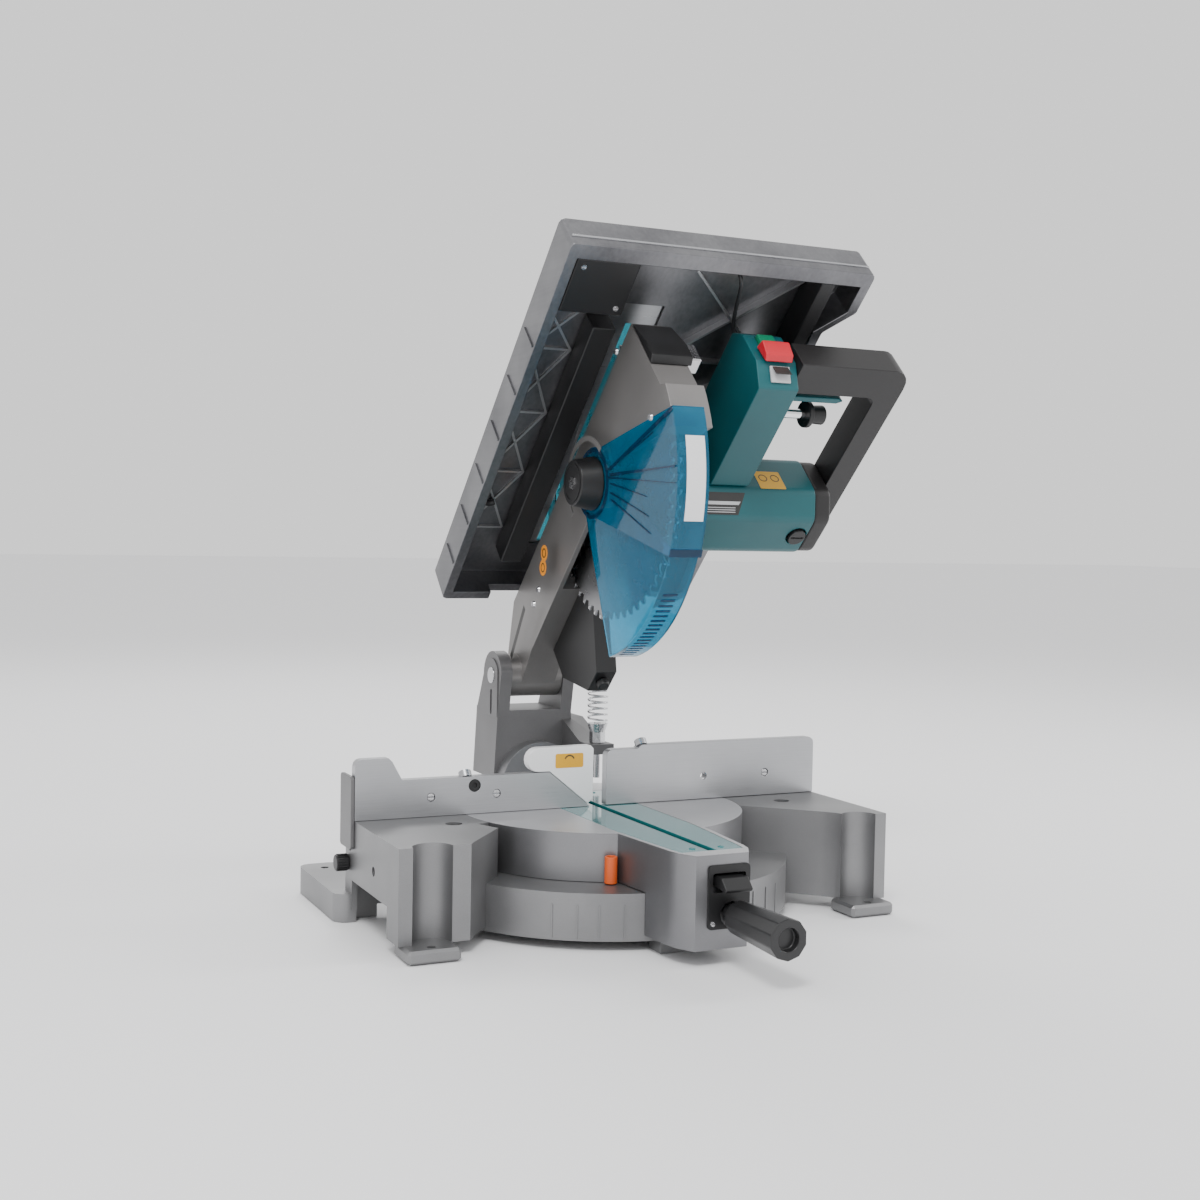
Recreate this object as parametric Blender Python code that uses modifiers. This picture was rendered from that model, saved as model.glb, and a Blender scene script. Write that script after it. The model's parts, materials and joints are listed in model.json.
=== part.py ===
"""A table-top mitre saw: a mitre saw whose head carries a small rip table.

Frame: metres, +Z up, front towards -Y. The turntable turns on Z through the origin, the floor is
z = 0, the fence faces lie in the plane y = 0 and the blade runs in the plane x = 0.
The head is designed in its lowered position, with the upper table level, and its pivot then
raises it to rest.
"""

import math

import bmesh
import bpy
import numpy as np
from mathutils import Matrix, Vector

# Base and lower table
TABLE_H = 0.1086
DECK_H = 0.058
DECK_R = 0.210
DECK_FLOOR = 0.010
DECK_TOP = 0.008
TURNTABLE_R = 0.160
WING_HALF = 0.2835
WING_FRONT = -0.1496
WING_BACK = 0.032
WING_TOP = 0.009
WALL = 0.006
ARCH_H = 0.045
FOOT_T = 0.0133
FOOT_IN = 0.226
FOOT_OUT = 0.2805
FOOT_FRONT = -0.1727
FOOT_DEPTH = 0.045
FOOT_HOLE_R = 0.0045
SOCKET_R = 0.0205
PILLAR = 0.012
OUTRIGGER = (0.250, 0.300, 0.030, 0.170, 0.030)
CENTRE_PAD_R = 0.030
GAP = 0.0003
RUN = 0.0005

# Fences
FENCE_T = 0.012
FENCE_LOW = 0.041
FENCE_TALL = 0.065
FENCE_RIGHT = 0.067
SUB_FENCE_H = 0.069
FENCE_GAP = 0.008
FENCE_FOOT = 0.032
FENCE_FOOT_T = 0.010
SCREW_Z = 0.027
SCREW_X = (-0.1995, -0.1243, 0.2159)
SCREW_R = 0.0042
OPEN_HOLE_X = 0.1333
SOCKET_BOLT = (-0.150, 0.031)
SOCKET_BOLT_R = 0.0065
COUNTERBORE = 0.004
SUB_PIVOT = (-0.075, 0.055)

# Turntable arm
ARM_REACH = 0.278
ARM_WIDE = 0.053
ARM_MID = 0.042
ARM_TIP = 0.029
ARM_FLOOR = 0.016
MITRE_LIMIT = {-1: 45.0, 1: 52.0}
SWEEP = 0.002
KERF = 0.009
KERF_PLATE_T = 0.004
KERF_INSET = 0.006
KERF_BACK = 0.095
BLADE_TRENCH = 0.036
PEG_R = 0.0066
PEG_SPARE = 6.0
GRIP_X = 0.010
GRIP_Z = 0.050
GRIP_R = 0.020
GRIP_LENGTH = 0.105

# Tilt arm and hinge
NECK_BACK = 0.188
BEVEL_R = 0.050
UPRIGHT_BACK = 0.262
UPRIGHT_HALF = 0.049
CHEEK = 0.015
PIVOT_Y = 0.210
PIVOT_Z = 0.238
PIVOT_R = 0.030
CHOP_DEG = 45.0
STOP_X = 0.0525
STOP_Y = 0.120
SHELF_Z = TABLE_H + 0.0414
STOP_CLEAR = 0.0114

# Head, down position
BLADE_Y = -0.117
BLADE_Z = 0.238
BLADE_R = 0.1525
BLADE_T = 0.0022
BORE_R = 0.015
TEETH = 60
CASE_LEFT = -0.020
CASE_RIGHT = 0.0243
CASE_LOW = 0.225
CASE_TOP = 0.306
CASE_FRONT = -0.288
POCKET_R = 0.157
SKIRT_R = 0.184
SKIRT_END = 208.0
SPINDLE_R = 0.011
MOTOR_Y = -0.087
MOTOR_Z = 0.242
MOTOR_R = 0.050
MOTOR_X = (0.060, 0.245)
END_CAP_T = 0.0222
HANDLE_T = 0.030
HANDLE_FRONT = -0.305
GRIP_BAR = 0.040
HANDLE_H = 0.036
BOX_X = (0.105, 0.1547)
BOX_FRONT = -0.297
BOX_Z = (0.218, 0.305)

# Guard leaves, as angles about the blade axis from +Y towards +Z
LEAF_R = 0.196
LEAF_T = 0.003
LEAF_CHEEK = 0.0020
LEAF_RIGHT = 0.0105
HUB_R = 0.014
HUB_RING = 0.040
UPPER_LEAF = (203.0, 248.0)
LOWER_LEAF = (246.0, 302.0)

# Upper table
TOP_Z = 0.3395
TOP_T = 0.006
TOP_LEFT = -0.1206
TOP_RIGHT = 0.240
TOP_RIGHT_BACK = 0.210
TOP_FRONT = -0.382
TOP_BACK = 0.135
APRON = 0.0425
APRON_T = 0.012
FRONT_RAIL = 0.018
INSERT_HALF = 0.045
INSERT_T = 0.003
COVER_H = 0.099
COVER_HALF = 0.017
COVER_FRONT = -0.297
COVER_BACK = 0.085
COVER_T = 0.002
KNIFE_T = 0.002


PALETTE = {
    "cast silver": ((0.62, 0.62, 0.63), 0.42, 0.85),
    "machined silver": ((0.80, 0.80, 0.81), 0.35, 0.75),
    "grey paint": ((0.30, 0.29, 0.30), 0.45, 0.20),
    "steel": ((0.62, 0.62, 0.62), 0.28, 1.00),
    "chrome": ((0.80, 0.80, 0.80), 0.12, 1.00),
    "black plastic": ((0.015, 0.015, 0.016), 0.50, 0.00),
    "brown black": ((0.040, 0.033, 0.034), 0.48, 0.00),
    "teal": ((0.010, 0.145, 0.175), 0.42, 0.00),
    "clear blue": ((0.050, 0.260, 0.360), 0.15, 0.00),
    "red": ((0.75, 0.045, 0.070), 0.40, 0.00),
    "green": ((0.010, 0.160, 0.090), 0.40, 0.00),
    "orange": ((0.65, 0.100, 0.020), 0.45, 0.00),
    "white": ((0.85, 0.85, 0.85), 0.40, 0.00),
}


def clear_scene():
    for obj in list(bpy.data.objects):
        bpy.data.objects.remove(obj, do_unlink=True)


def collection(name):
    made = bpy.data.collections.new(name)
    bpy.context.scene.collection.children.link(made)
    return made


def material(name):
    """The Principled material of a palette colour, made once."""
    found = bpy.data.materials.get(name)
    if found:
        return found
    made = bpy.data.materials.new(name)
    made.use_nodes = True
    shader = made.node_tree.nodes["Principled BSDF"]
    colour, roughness, metallic = PALETTE[name]
    shader.inputs["Base Color"].default_value = (*colour, 1.0)
    shader.inputs["Roughness"].default_value = roughness
    shader.inputs["Metallic"].default_value = metallic
    return made


def pivot(name, at, parent=None, turn=None):
    """An empty on a joint's axis. Its children are modelled from this point."""
    made = bpy.data.objects.new(name, None)
    made.empty_display_size = 0.03
    made.location = Vector(at) - (Vector(parent["design"]) if parent else Vector())
    made["design"] = tuple(at)
    made.parent = parent
    if turn:
        made.rotation_euler = turn
    PARTS.objects.link(made)
    return made


def place(name, mesh, joint, paint):
    """An object whose mesh, given in the design frame, is moved to hang from its joint."""
    if joint:
        mesh.transform(Matrix.Translation(-Vector(joint["design"])))
    made = bpy.data.objects.new(name, mesh)
    made.parent = joint
    if paint:
        mesh.materials.append(material(paint))
        PARTS.objects.link(made)
    else:
        CUTTERS.objects.link(made)
        made.hide_render = True
        made.display_type = "WIRE"
    return made


def smooth(obj, angle=35.0):
    obj.data.shade_smooth()
    obj.data.set_sharp_from_angle(angle=math.radians(angle))
    return obj


def block(name, low, high, joint=None, paint=None):
    """A box between two corners."""
    low, high = Vector(low), Vector(high)
    shape = bmesh.new()
    bmesh.ops.create_cube(shape, size=1.0)
    bmesh.ops.scale(shape, vec=high - low, verts=shape.verts)
    bmesh.ops.translate(shape, vec=(low + high) / 2, verts=shape.verts)
    mesh = bpy.data.meshes.new(name)
    shape.to_mesh(mesh)
    shape.free()
    return place(name, mesh, joint, paint)


def rod(name, start, end, radius, joint=None, paint=None, tip=None, sides=32):
    """A cylinder, or a cone with another radius at its end."""
    start, end = Vector(start), Vector(end)
    along = end - start
    shape = bmesh.new()
    bmesh.ops.create_cone(
        shape,
        cap_ends=True,
        segments=sides,
        radius1=radius,
        radius2=radius if tip is None else tip,
        depth=along.length,
    )
    turn = Vector((0, 0, 1)).rotation_difference(along).to_matrix().to_4x4()
    bmesh.ops.transform(shape, matrix=Matrix.Translation((start + end) / 2) @ turn, verts=shape.verts)
    mesh = bpy.data.meshes.new(name)
    shape.to_mesh(mesh)
    shape.free()
    return smooth(place(name, mesh, joint, paint))


AXES = {
    "X": Matrix(((0, 0, 1), (1, 0, 0), (0, 1, 0))),
    "Y": Matrix(((1, 0, 0), (0, 0, -1), (0, 1, 0))),
    "Z": Matrix.Identity(3),
}


def solid_of(curve_object, name, joint, paint):
    """A curve turned into a welded mesh."""
    graph = bpy.context.evaluated_depsgraph_get()
    mesh = bpy.data.meshes.new_from_object(curve_object.evaluated_get(graph))
    mesh.transform(curve_object.matrix_world)
    curve = curve_object.data
    bpy.data.objects.remove(curve_object, do_unlink=True)
    bpy.data.curves.remove(curve)
    shape = bmesh.new()
    shape.from_mesh(mesh)
    bmesh.ops.remove_doubles(shape, verts=shape.verts, dist=0.00002)
    bmesh.ops.recalc_face_normals(shape, faces=shape.faces)
    shape.to_mesh(mesh)
    shape.free()
    mesh.materials.clear()
    mesh.name = name
    return place(name, mesh, joint, paint)


def outline(name, axis, loops, low, high, joint=None, paint=None):
    """A flat outline, with any holes after it, extruded along an axis from low to high."""
    curve = bpy.data.curves.new(name, "CURVE")
    curve.dimensions = "2D"
    curve.fill_mode = "BOTH"
    curve.extrude = (high - low) / 2
    for loop in loops:
        spline = curve.splines.new("POLY")
        spline.points.add(len(loop) - 1)
        for point, (u, v) in zip(spline.points, loop):
            point.co = (u, v, 0.0, 1.0)
        spline.use_cyclic_u = True
    made = bpy.data.objects.new(name, curve)
    turn = AXES[axis].to_4x4()
    middle = (low + high) / 2 * (-1 if axis == "Y" else 1)
    made.matrix_world = turn @ Matrix.Translation((0, 0, middle))
    bpy.context.scene.collection.objects.link(made)
    bpy.context.view_layer.update()
    return smooth(solid_of(made, name, joint, paint))


def tube(name, points, radius, joint=None, paint=None, detail=3):
    """A round bar through points."""
    curve = bpy.data.curves.new(name, "CURVE")
    curve.dimensions = "3D"
    curve.bevel_depth = radius
    curve.bevel_resolution = detail
    curve.use_fill_caps = True
    spline = curve.splines.new("POLY")
    spline.points.add(len(points) - 1)
    for point, at in zip(spline.points, points):
        point.co = (*at, 1.0)
    made = bpy.data.objects.new(name, curve)
    bpy.context.scene.collection.objects.link(made)
    bpy.context.view_layer.update()
    return smooth(solid_of(made, name, joint, paint))


def arc(centre, radius, start, end, steps):
    """Points on an arc, angles in degrees."""
    turns = np.radians(np.linspace(start, end, steps + 1))
    return [(centre[0] + radius * math.cos(t), centre[1] + radius * math.sin(t)) for t in turns]


def ring(centre, radius, steps=32):
    return arc(centre, radius, 0.0, 360.0 * (steps - 1) / steps, steps - 1)


def rounded(corners, radius, steps=3):
    """A closed outline with its corners rounded."""
    points = []
    for i, corner in enumerate(corners):
        here = Vector(corner)
        back = (Vector(corners[i - 1]) - here).normalized()
        ahead = (Vector(corners[(i + 1) % len(corners)]) - here).normalized()
        half = back.angle(ahead) / 2
        middle = here + (back + ahead).normalized() * (radius / math.sin(half))
        first = here + back * (radius / math.tan(half)) - middle
        last = here + ahead * (radius / math.tan(half)) - middle
        for k in range(steps + 1):
            mixed = first.lerp(last, k / steps).normalized() * radius
            points.append(tuple(middle + mixed))
    return points


def box_outline(low, high):
    return [(low[0], low[1]), (high[0], low[1]), (high[0], high[1]), (low[0], high[1])]


def soften(obj, width, segments=2):
    """Rounded edges."""
    bevel = obj.modifiers.new("Soft edges", "BEVEL")
    bevel.width = width
    bevel.segments = segments
    bevel.limit_method = "ANGLE"
    bevel.angle_limit = math.radians(40)
    return obj


def combine(obj, others, operation):
    """Boolean operations with shapes of the design frame, which then hang from the same joint."""
    for other in others:
        if obj.parent:
            other.data.transform(Matrix.Translation(-Vector(obj.parent["design"])))
            other.parent = obj.parent
        change = obj.modifiers.new(f"{operation.title()} {other.name}", "BOOLEAN")
        change.operation = operation
        change.solver = "EXACT"
        change.object = other
    return obj


def cut(obj, *others):
    return combine(obj, others, "DIFFERENCE")


def join(obj, *others):
    return combine(obj, others, "UNION")


def mirrored(side, low, high):
    """A pair of x limits on one side of the saw, in rising order."""
    return tuple(sorted((side * low, side * high)))


# Base: wings, turntable seat, feet, fences

def base_casting():
    """The cast base: a round deck with two hollow wings, feet and sockets for support rods."""
    base = rod("base_casting", (0, 0, DECK_FLOOR), (0, 0, DECK_H), DECK_R, None, "cast silver", sides=64)
    parts, holes = [], []
    seat_r = TURNTABLE_R + RUN
    for side, label in ((-1, "left"), (1, "right")):
        x = mirrored(side, DECK_R * 0.55, WING_HALF)
        wing = block(f"{label} wing", (x[0], WING_FRONT, FOOT_T), (x[1], WING_BACK, TABLE_H))
        parts.append(cut(wing, arm_room(side, label)))
        x = mirrored(side, FOOT_IN, FOOT_OUT)
        foot = block(f"{label} front foot", (x[0], FOOT_FRONT, 0),
                     (x[1], FOOT_FRONT + FOOT_DEPTH, FOOT_T + GAP))
        parts.append(soften(foot, 0.003, 1))
        x = mirrored(side, OUTRIGGER[0], OUTRIGGER[1])
        lug = box_outline((x[0], OUTRIGGER[2] - 0.02), (x[1], OUTRIGGER[3]))
        parts.append(outline(f"{label} rear foot", "Z", [rounded(lug, 0.014)], 0.0, OUTRIGGER[4]))
        x = mirrored(side, DECK_R + WALL, WING_HALF - WALL)
        low = (x[0], WING_FRONT + 2 * SOCKET_R + WALL, 0.0)
        high = (x[1], WING_BACK - WALL, TABLE_H - WING_TOP)
        holes.append(block(f"{label} wing hollow", low, high))
        x = mirrored(side, WING_HALF - 2 * WALL, WING_HALF + WALL)
        low, high = (x[0], WING_FRONT + 0.036, 0.0), (x[1], OUTRIGGER[2] - 0.022, ARCH_H)
        holes.append(block(f"{label} arch", low, high))
        middle = side * (FOOT_IN + WING_HALF - PILLAR) / 2
        socket = (middle, WING_FRONT, FOOT_T + GAP), (middle, WING_FRONT, TABLE_H + WALL)
        holes.append(rod(f"{label} rod socket", *socket, SOCKET_R, sides=40))
        hole = (side * (FOOT_IN + FOOT_OUT) / 2, FOOT_FRONT + 0.012)
        holes.append(rod(f"{label} front bolt hole", (*hole, -WALL), (*hole, FOOT_T + WALL),
                         FOOT_HOLE_R, sides=16))
        hole = (side * (OUTRIGGER[0] + OUTRIGGER[1]) / 2, OUTRIGGER[3] - 0.025)
        holes.append(rod(f"{label} rear bolt hole", (*hole, -WALL), (*hole, TABLE_H), FOOT_HOLE_R, sides=16))
    parts.append(rod("centre pad", (0, 0, 0), (0, 0, DECK_FLOOR + GAP), CENTRE_PAD_R))
    front = block("front foot", (-0.035, -DECK_R - 0.010, 0), (0.040, -DECK_R + 0.020, ARM_FLOOR - RUN))
    parts.append(front)
    join(base, *parts)
    holes.append(peg_room())
    holes.append(rod("turntable seat", (0, 0, DECK_H), (0, 0, TABLE_H + WALL), seat_r, sides=96))
    under = rod("deck hollow", (0, 0, -WALL), (0, 0, DECK_H - DECK_TOP), DECK_R - 2 * WALL, sides=64)
    holes.append(cut(under, rod("deck column", (0, 0, -2 * WALL), (0, 0, TABLE_H), CENTRE_PAD_R)))
    return cut(base, *holes)


def peg_room():
    """The groove beside the turntable in which the orange peg travels to its furthest left."""
    inner, outer = TURNTABLE_R - WALL, TURNTABLE_R + 2 * PEG_R + SWEEP
    ends = peg_turn() - MITRE_LIMIT[-1] - PEG_SPARE, peg_turn()
    sector = arc((0, 0), outer, *ends, 12) + arc((0, 0), inner, *ends[::-1], 12)
    return outline("peg room", "Z", [sector], DECK_H, TABLE_H + WALL)


def arm_room(side, label):
    """The room beside the deck that the arm needs at its furthest turn to one side."""
    turn = math.radians(MITRE_LIMIT[side])
    ahead = Vector((side * math.sin(turn), -math.cos(turn)))
    out = Vector((side * math.cos(turn), math.sin(turn)))
    reach = ARM_REACH + SWEEP
    points = [Vector((0, 0))]
    for y in (-0.050, -0.130, -0.245, -ARM_REACH + 0.018, -reach):
        points.append(ahead * -y + out * (arm_half(y) + SWEEP))
    points += [ahead * reach, Vector((0, -reach - SWEEP))]
    return outline(f"{label} arm room", "Z", [[tuple(p) for p in points]], -WALL, TABLE_H + WALL)


def left_fence():
    """The fixed left fence: low beside the blade, tall at the wing's end."""
    top, tall = TABLE_H + FENCE_LOW, TABLE_H + FENCE_TALL
    foot = TABLE_H + RUN
    face = [
        (-WING_HALF, foot),
        (-0.012, foot),
        (-0.062, top),
        (-0.232, top),
        (-0.243, tall - 0.004),
        (-0.247, tall),
        *arc((-WING_HALF + 0.008, tall - 0.008), 0.008, 90, 180, 3),
    ]
    fence = outline("left_fence", "Y", [face], 0.0, FENCE_T, None, "machined silver")
    low, high = (-WING_HALF, FENCE_T / 2, foot), (-0.172, FENCE_FOOT, foot + FENCE_FOOT_T)
    join(fence, block("left fence flange", low, high))
    cut(fence, counterbore("socket bolt bore", *SOCKET_BOLT, SOCKET_BOLT_R))
    return cut(fence, *(counterbore(f"screw bore {x}", x, SCREW_Z - 0.006, SCREW_R) for x in SCREW_X[:2]))


def counterbore(name, x, height, radius):
    """A flat-bottomed bore in a fence's face that sinks a screw's head below it."""
    z = TABLE_H + height
    return rod(name, (x, -COUNTERBORE, z), (x, COUNTERBORE, z), radius + RUN, sides=24)


def right_fence():
    """The fixed right fence with an open screw hole."""
    foot, top = TABLE_H + RUN, TABLE_H + FENCE_RIGHT
    face = [
        (FENCE_GAP, foot),
        (WING_HALF, foot),
        *arc((WING_HALF - 0.007, top - 0.007), 0.007, 0, 90, 3),
        (0.052, top),
        (0.047, top - 0.004),
        *arc((FENCE_GAP + 0.008, top - 0.012), 0.008, 90, 180, 3),
    ]
    hole = ring((OPEN_HOLE_X, TABLE_H + SCREW_Z), SCREW_R, 16)
    fence = outline("right_fence", "Y", [face, hole], 0.0, FENCE_T, None, "machined silver")
    low, high = (0.172, FENCE_T / 2, foot), (WING_HALF, FENCE_FOOT, foot + FENCE_FOOT_T)
    join(fence, block("right fence flange", low, high))
    return cut(fence, counterbore("right screw bore", SCREW_X[2], SCREW_Z, SCREW_R))


def left_sub_fence(joint):
    """The piece beside the blade that swings over to the left for bevel cuts."""
    top = TABLE_H + SUB_FENCE_H
    face = [
        (-FENCE_GAP, TABLE_H + 0.0085),
        (-FENCE_GAP, top - 0.004),
        (-0.012, top),
        *arc((SUB_PIVOT[0], TABLE_H + SUB_PIVOT[1]), SUB_FENCE_H - SUB_PIVOT[1] - RUN, 90, 270, 10),
        (-0.0615, TABLE_H + FENCE_LOW + RUN),
        (-0.0145, TABLE_H + 0.0030),
    ]
    return outline("left_sub_fence", "Y", [face], 0.0, FENCE_T, joint, "white")


def base_fittings():
    """Bolts, end plate and clamp screw of the base."""
    x, z = SOCKET_BOLT[0], TABLE_H + SOCKET_BOLT[1]
    deep, face = COUNTERBORE - GAP, RUN
    head = rod("fence_socket_bolt", (x, face, z), (x, deep, z), SOCKET_BOLT_R, None, "black plastic")
    cut(head, rod("socket", (x, face - WALL, z), (x, face + 0.002, z), SOCKET_BOLT_R / 2, sides=6))
    for label, x in zip("abc", SCREW_X):
        z = TABLE_H + SCREW_Z - 0.006 * (x < 0)
        rod(f"fence_screw_{label}", (x, face, z), (x, deep, z), SCREW_R, None, "steel", sides=20)
    plate = box_outline((OUTRIGGER[2] - 0.030, TABLE_H - 0.030), (OUTRIGGER[2] + 0.010, TABLE_H + 0.047))
    x = -WING_HALF - GAP
    outline("fence_end_plate", "X", [rounded(plate, 0.004)], x - 0.004, x, None, "grey paint")
    side = pivot("side_screw_axis", (-WING_HALF, 0.022, 0.062))
    x = -WING_HALF - GAP
    screw = rod("side_clamp_screw", (x, 0.022, 0.062), (x - 0.014, 0.022, 0.062), 0.0085, side,
                "black plastic", sides=20)
    return screw


# Turntable: plate, arm, kerf plates, mitre grip

def arm_half(y):
    """Half width of the arm at a distance in front of the mitre axis."""
    ys = (-ARM_REACH, -ARM_REACH + 0.018, -0.245, -0.130, KERF_BACK)
    widths = (ARM_TIP, ARM_MID - 0.003, ARM_MID, ARM_WIDE, ARM_WIDE)
    return float(np.interp(y, ys, widths))


def turntable(joint):
    """The turning plate with its hollow arm in front and the bevel bearing at the back."""
    plate = rod("turntable", (0, 0, DECK_H + RUN), (0, 0, TABLE_H), TURNTABLE_R, joint,
                "machined silver", sides=96)
    stations = (-ARM_REACH, -ARM_REACH + 0.018, -0.245, -0.130, -0.050)
    right = [(arm_half(y), y) for y in stations]
    left = [(-x, y) for x, y in reversed(right)]
    arm = outline("arm", "Z", [right + left], ARM_FLOOR, TABLE_H)
    room = rod("room for the deck", (0, 0, 0), (0, 0, DECK_H + 2 * RUN), DECK_R + 2 * RUN, sides=64)
    cut(arm, room)
    half = BEVEL_R - 0.005
    neck = block("neck", (-half, 0.1, DECK_H + RUN), (half, NECK_BACK, TABLE_H - 0.002))
    bearing = rod("bevel bearing", (0, NECK_BACK - 0.020, TABLE_H), (0, NECK_BACK, TABLE_H), BEVEL_R,
                  sides=48)
    join(plate, arm, neck, bearing)
    bed = kerf_outline(-1, RUN) + kerf_outline(1, RUN)[::-1]
    recess = outline("kerf plate bed", "Z", [bed], TABLE_H - KERF_PLATE_T - GAP, TABLE_H + WALL)
    low, high = (-KERF, 0.03 - ARM_REACH, TABLE_H - BLADE_TRENCH), (KERF, 0.060, TABLE_H + WALL)
    trench = block("blade trench", low, high)
    low, high = (-0.012, -ARM_REACH - WALL, 0.052), (0.026, -ARM_REACH + 0.026, 0.098)
    mouth = block("lever opening", low, high)
    under = rod("turntable hollow", (0, 0, 0), (0, 0, TABLE_H - DECK_TOP), TURNTABLE_R - 2 * WALL, sides=64)
    cut(under, rod("turntable hub", (0, 0, -WALL), (0, 0, TABLE_H), CENTRE_PAD_R))
    low, high = (-0.033, -0.246, 0.0), (0.033, -TURNTABLE_R, TABLE_H - BLADE_TRENCH - WALL)
    return cut(plate, recess, trench, mouth, under, block("arm hollow", low, high))


def kerf_outline(side, spare):
    """The outer edge of a kerf plate, from back to front."""
    ys = (KERF_BACK, -0.130, -0.245, -ARM_REACH + 0.020)
    edge = [(side * (arm_half(y) - KERF_INSET + spare), y) for y in ys]
    edge[0] = (edge[0][0], KERF_BACK + spare)
    edge[-1] = (edge[-1][0], edge[-1][1] - spare)
    return edge


def kerf_plates(joint):
    """The two plates beside the saw slot."""
    for side, label in ((-1, "left"), (1, "right")):
        edge = kerf_outline(side, 0.0)
        inner = [(side * KERF / 2, edge[-1][1]), (side * KERF / 2, edge[0][1])]
        low, high = TABLE_H - KERF_PLATE_T, TABLE_H
        outline(f"kerf_plate_{label}", "Z", [edge + inner], low, high, joint, "clear blue")


def mitre_grip(joint):
    """The faceted grip whose turning locks the mitre angle."""
    root = -ARM_REACH - GAP
    core = rod("mitre_lock_grip", (GRIP_X, root, GRIP_Z), (GRIP_X, root - 0.022, GRIP_Z), 0.010, joint,
               "black plastic")
    end = root - GRIP_LENGTH
    body = rod("grip body", (GRIP_X, root - 0.016, GRIP_Z), (GRIP_X, end, GRIP_Z), GRIP_R * 0.85,
               tip=GRIP_R, sides=10)
    bore = rod("grip end ring", (GRIP_X, end - 0.01, GRIP_Z), (GRIP_X, end + 0.008, GRIP_Z),
               GRIP_R * 0.55, sides=24)
    return cut(join(core, body), bore)


def detent_lever(joint):
    """The thumb lever above the grip that frees the click stops."""
    y = -ARM_REACH
    shape = [(y + 0.020, 0.088), (y - 0.012, 0.088), (y - 0.022, 0.078), (y - 0.020, 0.075),
             (y + 0.020, 0.080)]
    return outline("detent_lever", "X", [shape], -0.008, 0.022, joint, "black plastic")


def peg_turn():
    """The peg's turn about the mitre axis, in degrees, that sets it just beside the arm."""
    away = ARM_WIDE + PEG_R + RUN
    return -90.0 - math.degrees(math.asin(away / (TURNTABLE_R + PEG_R + RUN)))


def orange_pin(joint):
    """The orange peg standing by the turntable's wall."""
    turn = math.radians(peg_turn())
    r = TURNTABLE_R + PEG_R + RUN
    x, y = r * math.cos(turn), r * math.sin(turn)
    return rod("orange_peg", (x, y, DECK_H + 2 * RUN), (x, y, TABLE_H - 0.022), PEG_R, joint, "orange",
               sides=20)


# Tilt arm

def tilt_arm(joint):
    """The upright that carries the head, turning on the bevel bearing."""
    front = NECK_BACK + RUN
    disc = rod("tilt_arm", (0, front, TABLE_H), (0, front + 0.040, TABLE_H), BEVEL_R, joint,
               "grey paint", sides=48)
    waist = [
        (-UPRIGHT_HALF - 0.004, TABLE_H + 0.004),
        (UPRIGHT_HALF + 0.004, TABLE_H + 0.004),
        (UPRIGHT_HALF, PIVOT_Z - 0.042),
        (-UPRIGHT_HALF, PIVOT_Z - 0.042),
    ]
    web = outline("upright web", "Y", [waist], front + 0.002, UPRIGHT_BACK)
    parts = [web]
    for side, label in ((-1, "left"), (1, "right")):
        x = mirrored(side, UPRIGHT_HALF - CHEEK, UPRIGHT_HALF)
        back, low = UPRIGHT_BACK, PIVOT_Z - 0.046
        cheek = [(front + 0.002, low), (back, low), (PIVOT_Y + PIVOT_R, PIVOT_Z)]
        cheek += arc((PIVOT_Y, PIVOT_Z), PIVOT_R, 10, 170, 12)
        parts.append(outline(f"{label} cheek", "X", [cheek], *x))
    shelf = [(STOP_Y - 0.016, SHELF_Z), (UPRIGHT_BACK - 0.01, SHELF_Z)]
    shelf += [(UPRIGHT_BACK - 0.01, SHELF_Z + 0.035),
             (NECK_BACK + 0.007, SHELF_Z + 0.035)]
    shelf += [(STOP_Y + 0.018, SHELF_Z + 0.012), (STOP_Y - 0.016, SHELF_Z + 0.012)]
    parts.append(outline("stop shelf", "X", [shelf], STOP_X - 0.015, STOP_X + 0.015))
    join(disc, *parts)
    at = (STOP_X, STOP_Y)
    hole = rod("stop bolt hole", (*at, TABLE_H), (*at, SHELF_Z + 0.05), 0.0045, sides=16)
    pin = rod("pivot bore", (-0.1, PIVOT_Y, PIVOT_Z), (0.1, PIVOT_Y, PIVOT_Z), 0.0105, sides=24)
    return cut(disc, hole, pin)


def stop_parts(joint):
    """Depth stop bolt with its buffer spring."""
    at = (STOP_X, STOP_Y)
    bolt = rod("depth_stop_bolt", (*at, TABLE_H + STOP_CLEAR), (*at, SHELF_Z + 0.037), 0.0040,
               joint, "steel", sides=16)
    nut = rod("stop hex", (*at, SHELF_Z + 0.0125), (*at, SHELF_Z + 0.026), 0.0095, sides=6)
    cone = rod("stop cone", (*at, SHELF_Z + 0.0255), (*at, SHELF_Z + 0.036), 0.0090, tip=0.0125, sides=24)
    join(bolt, nut, cone)
    coil = rod("buffer_spring", (*at, SHELF_Z + 0.0375), (*at, 0.226), 0.0125, joint, "steel", sides=24)
    cut(coil, rod("spring inside", (*at, SHELF_Z + 0.03), (*at, 0.24), 0.0100, sides=24))
    pin = rod("chop_pivot_pin", (-UPRIGHT_HALF - 0.003, PIVOT_Y, PIVOT_Z),
              (UPRIGHT_HALF + 0.003, PIVOT_Y, PIVOT_Z), 0.0100, joint, "steel", sides=24)
    return pin


def bevel_lever(joint):
    """The clamp lever behind the bevel bearing."""
    y = UPRIGHT_BACK + RUN
    hub = rod("bevel_lock_lever", (0, y, TABLE_H), (0, y + 0.022, TABLE_H), 0.013, joint,
              "black plastic", sides=24)
    bar = block("lever bar", (0.0, y + 0.008, TABLE_H - 0.006), (0.085, y + 0.018, TABLE_H + 0.006))
    return join(hub, bar)


# Head

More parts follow.
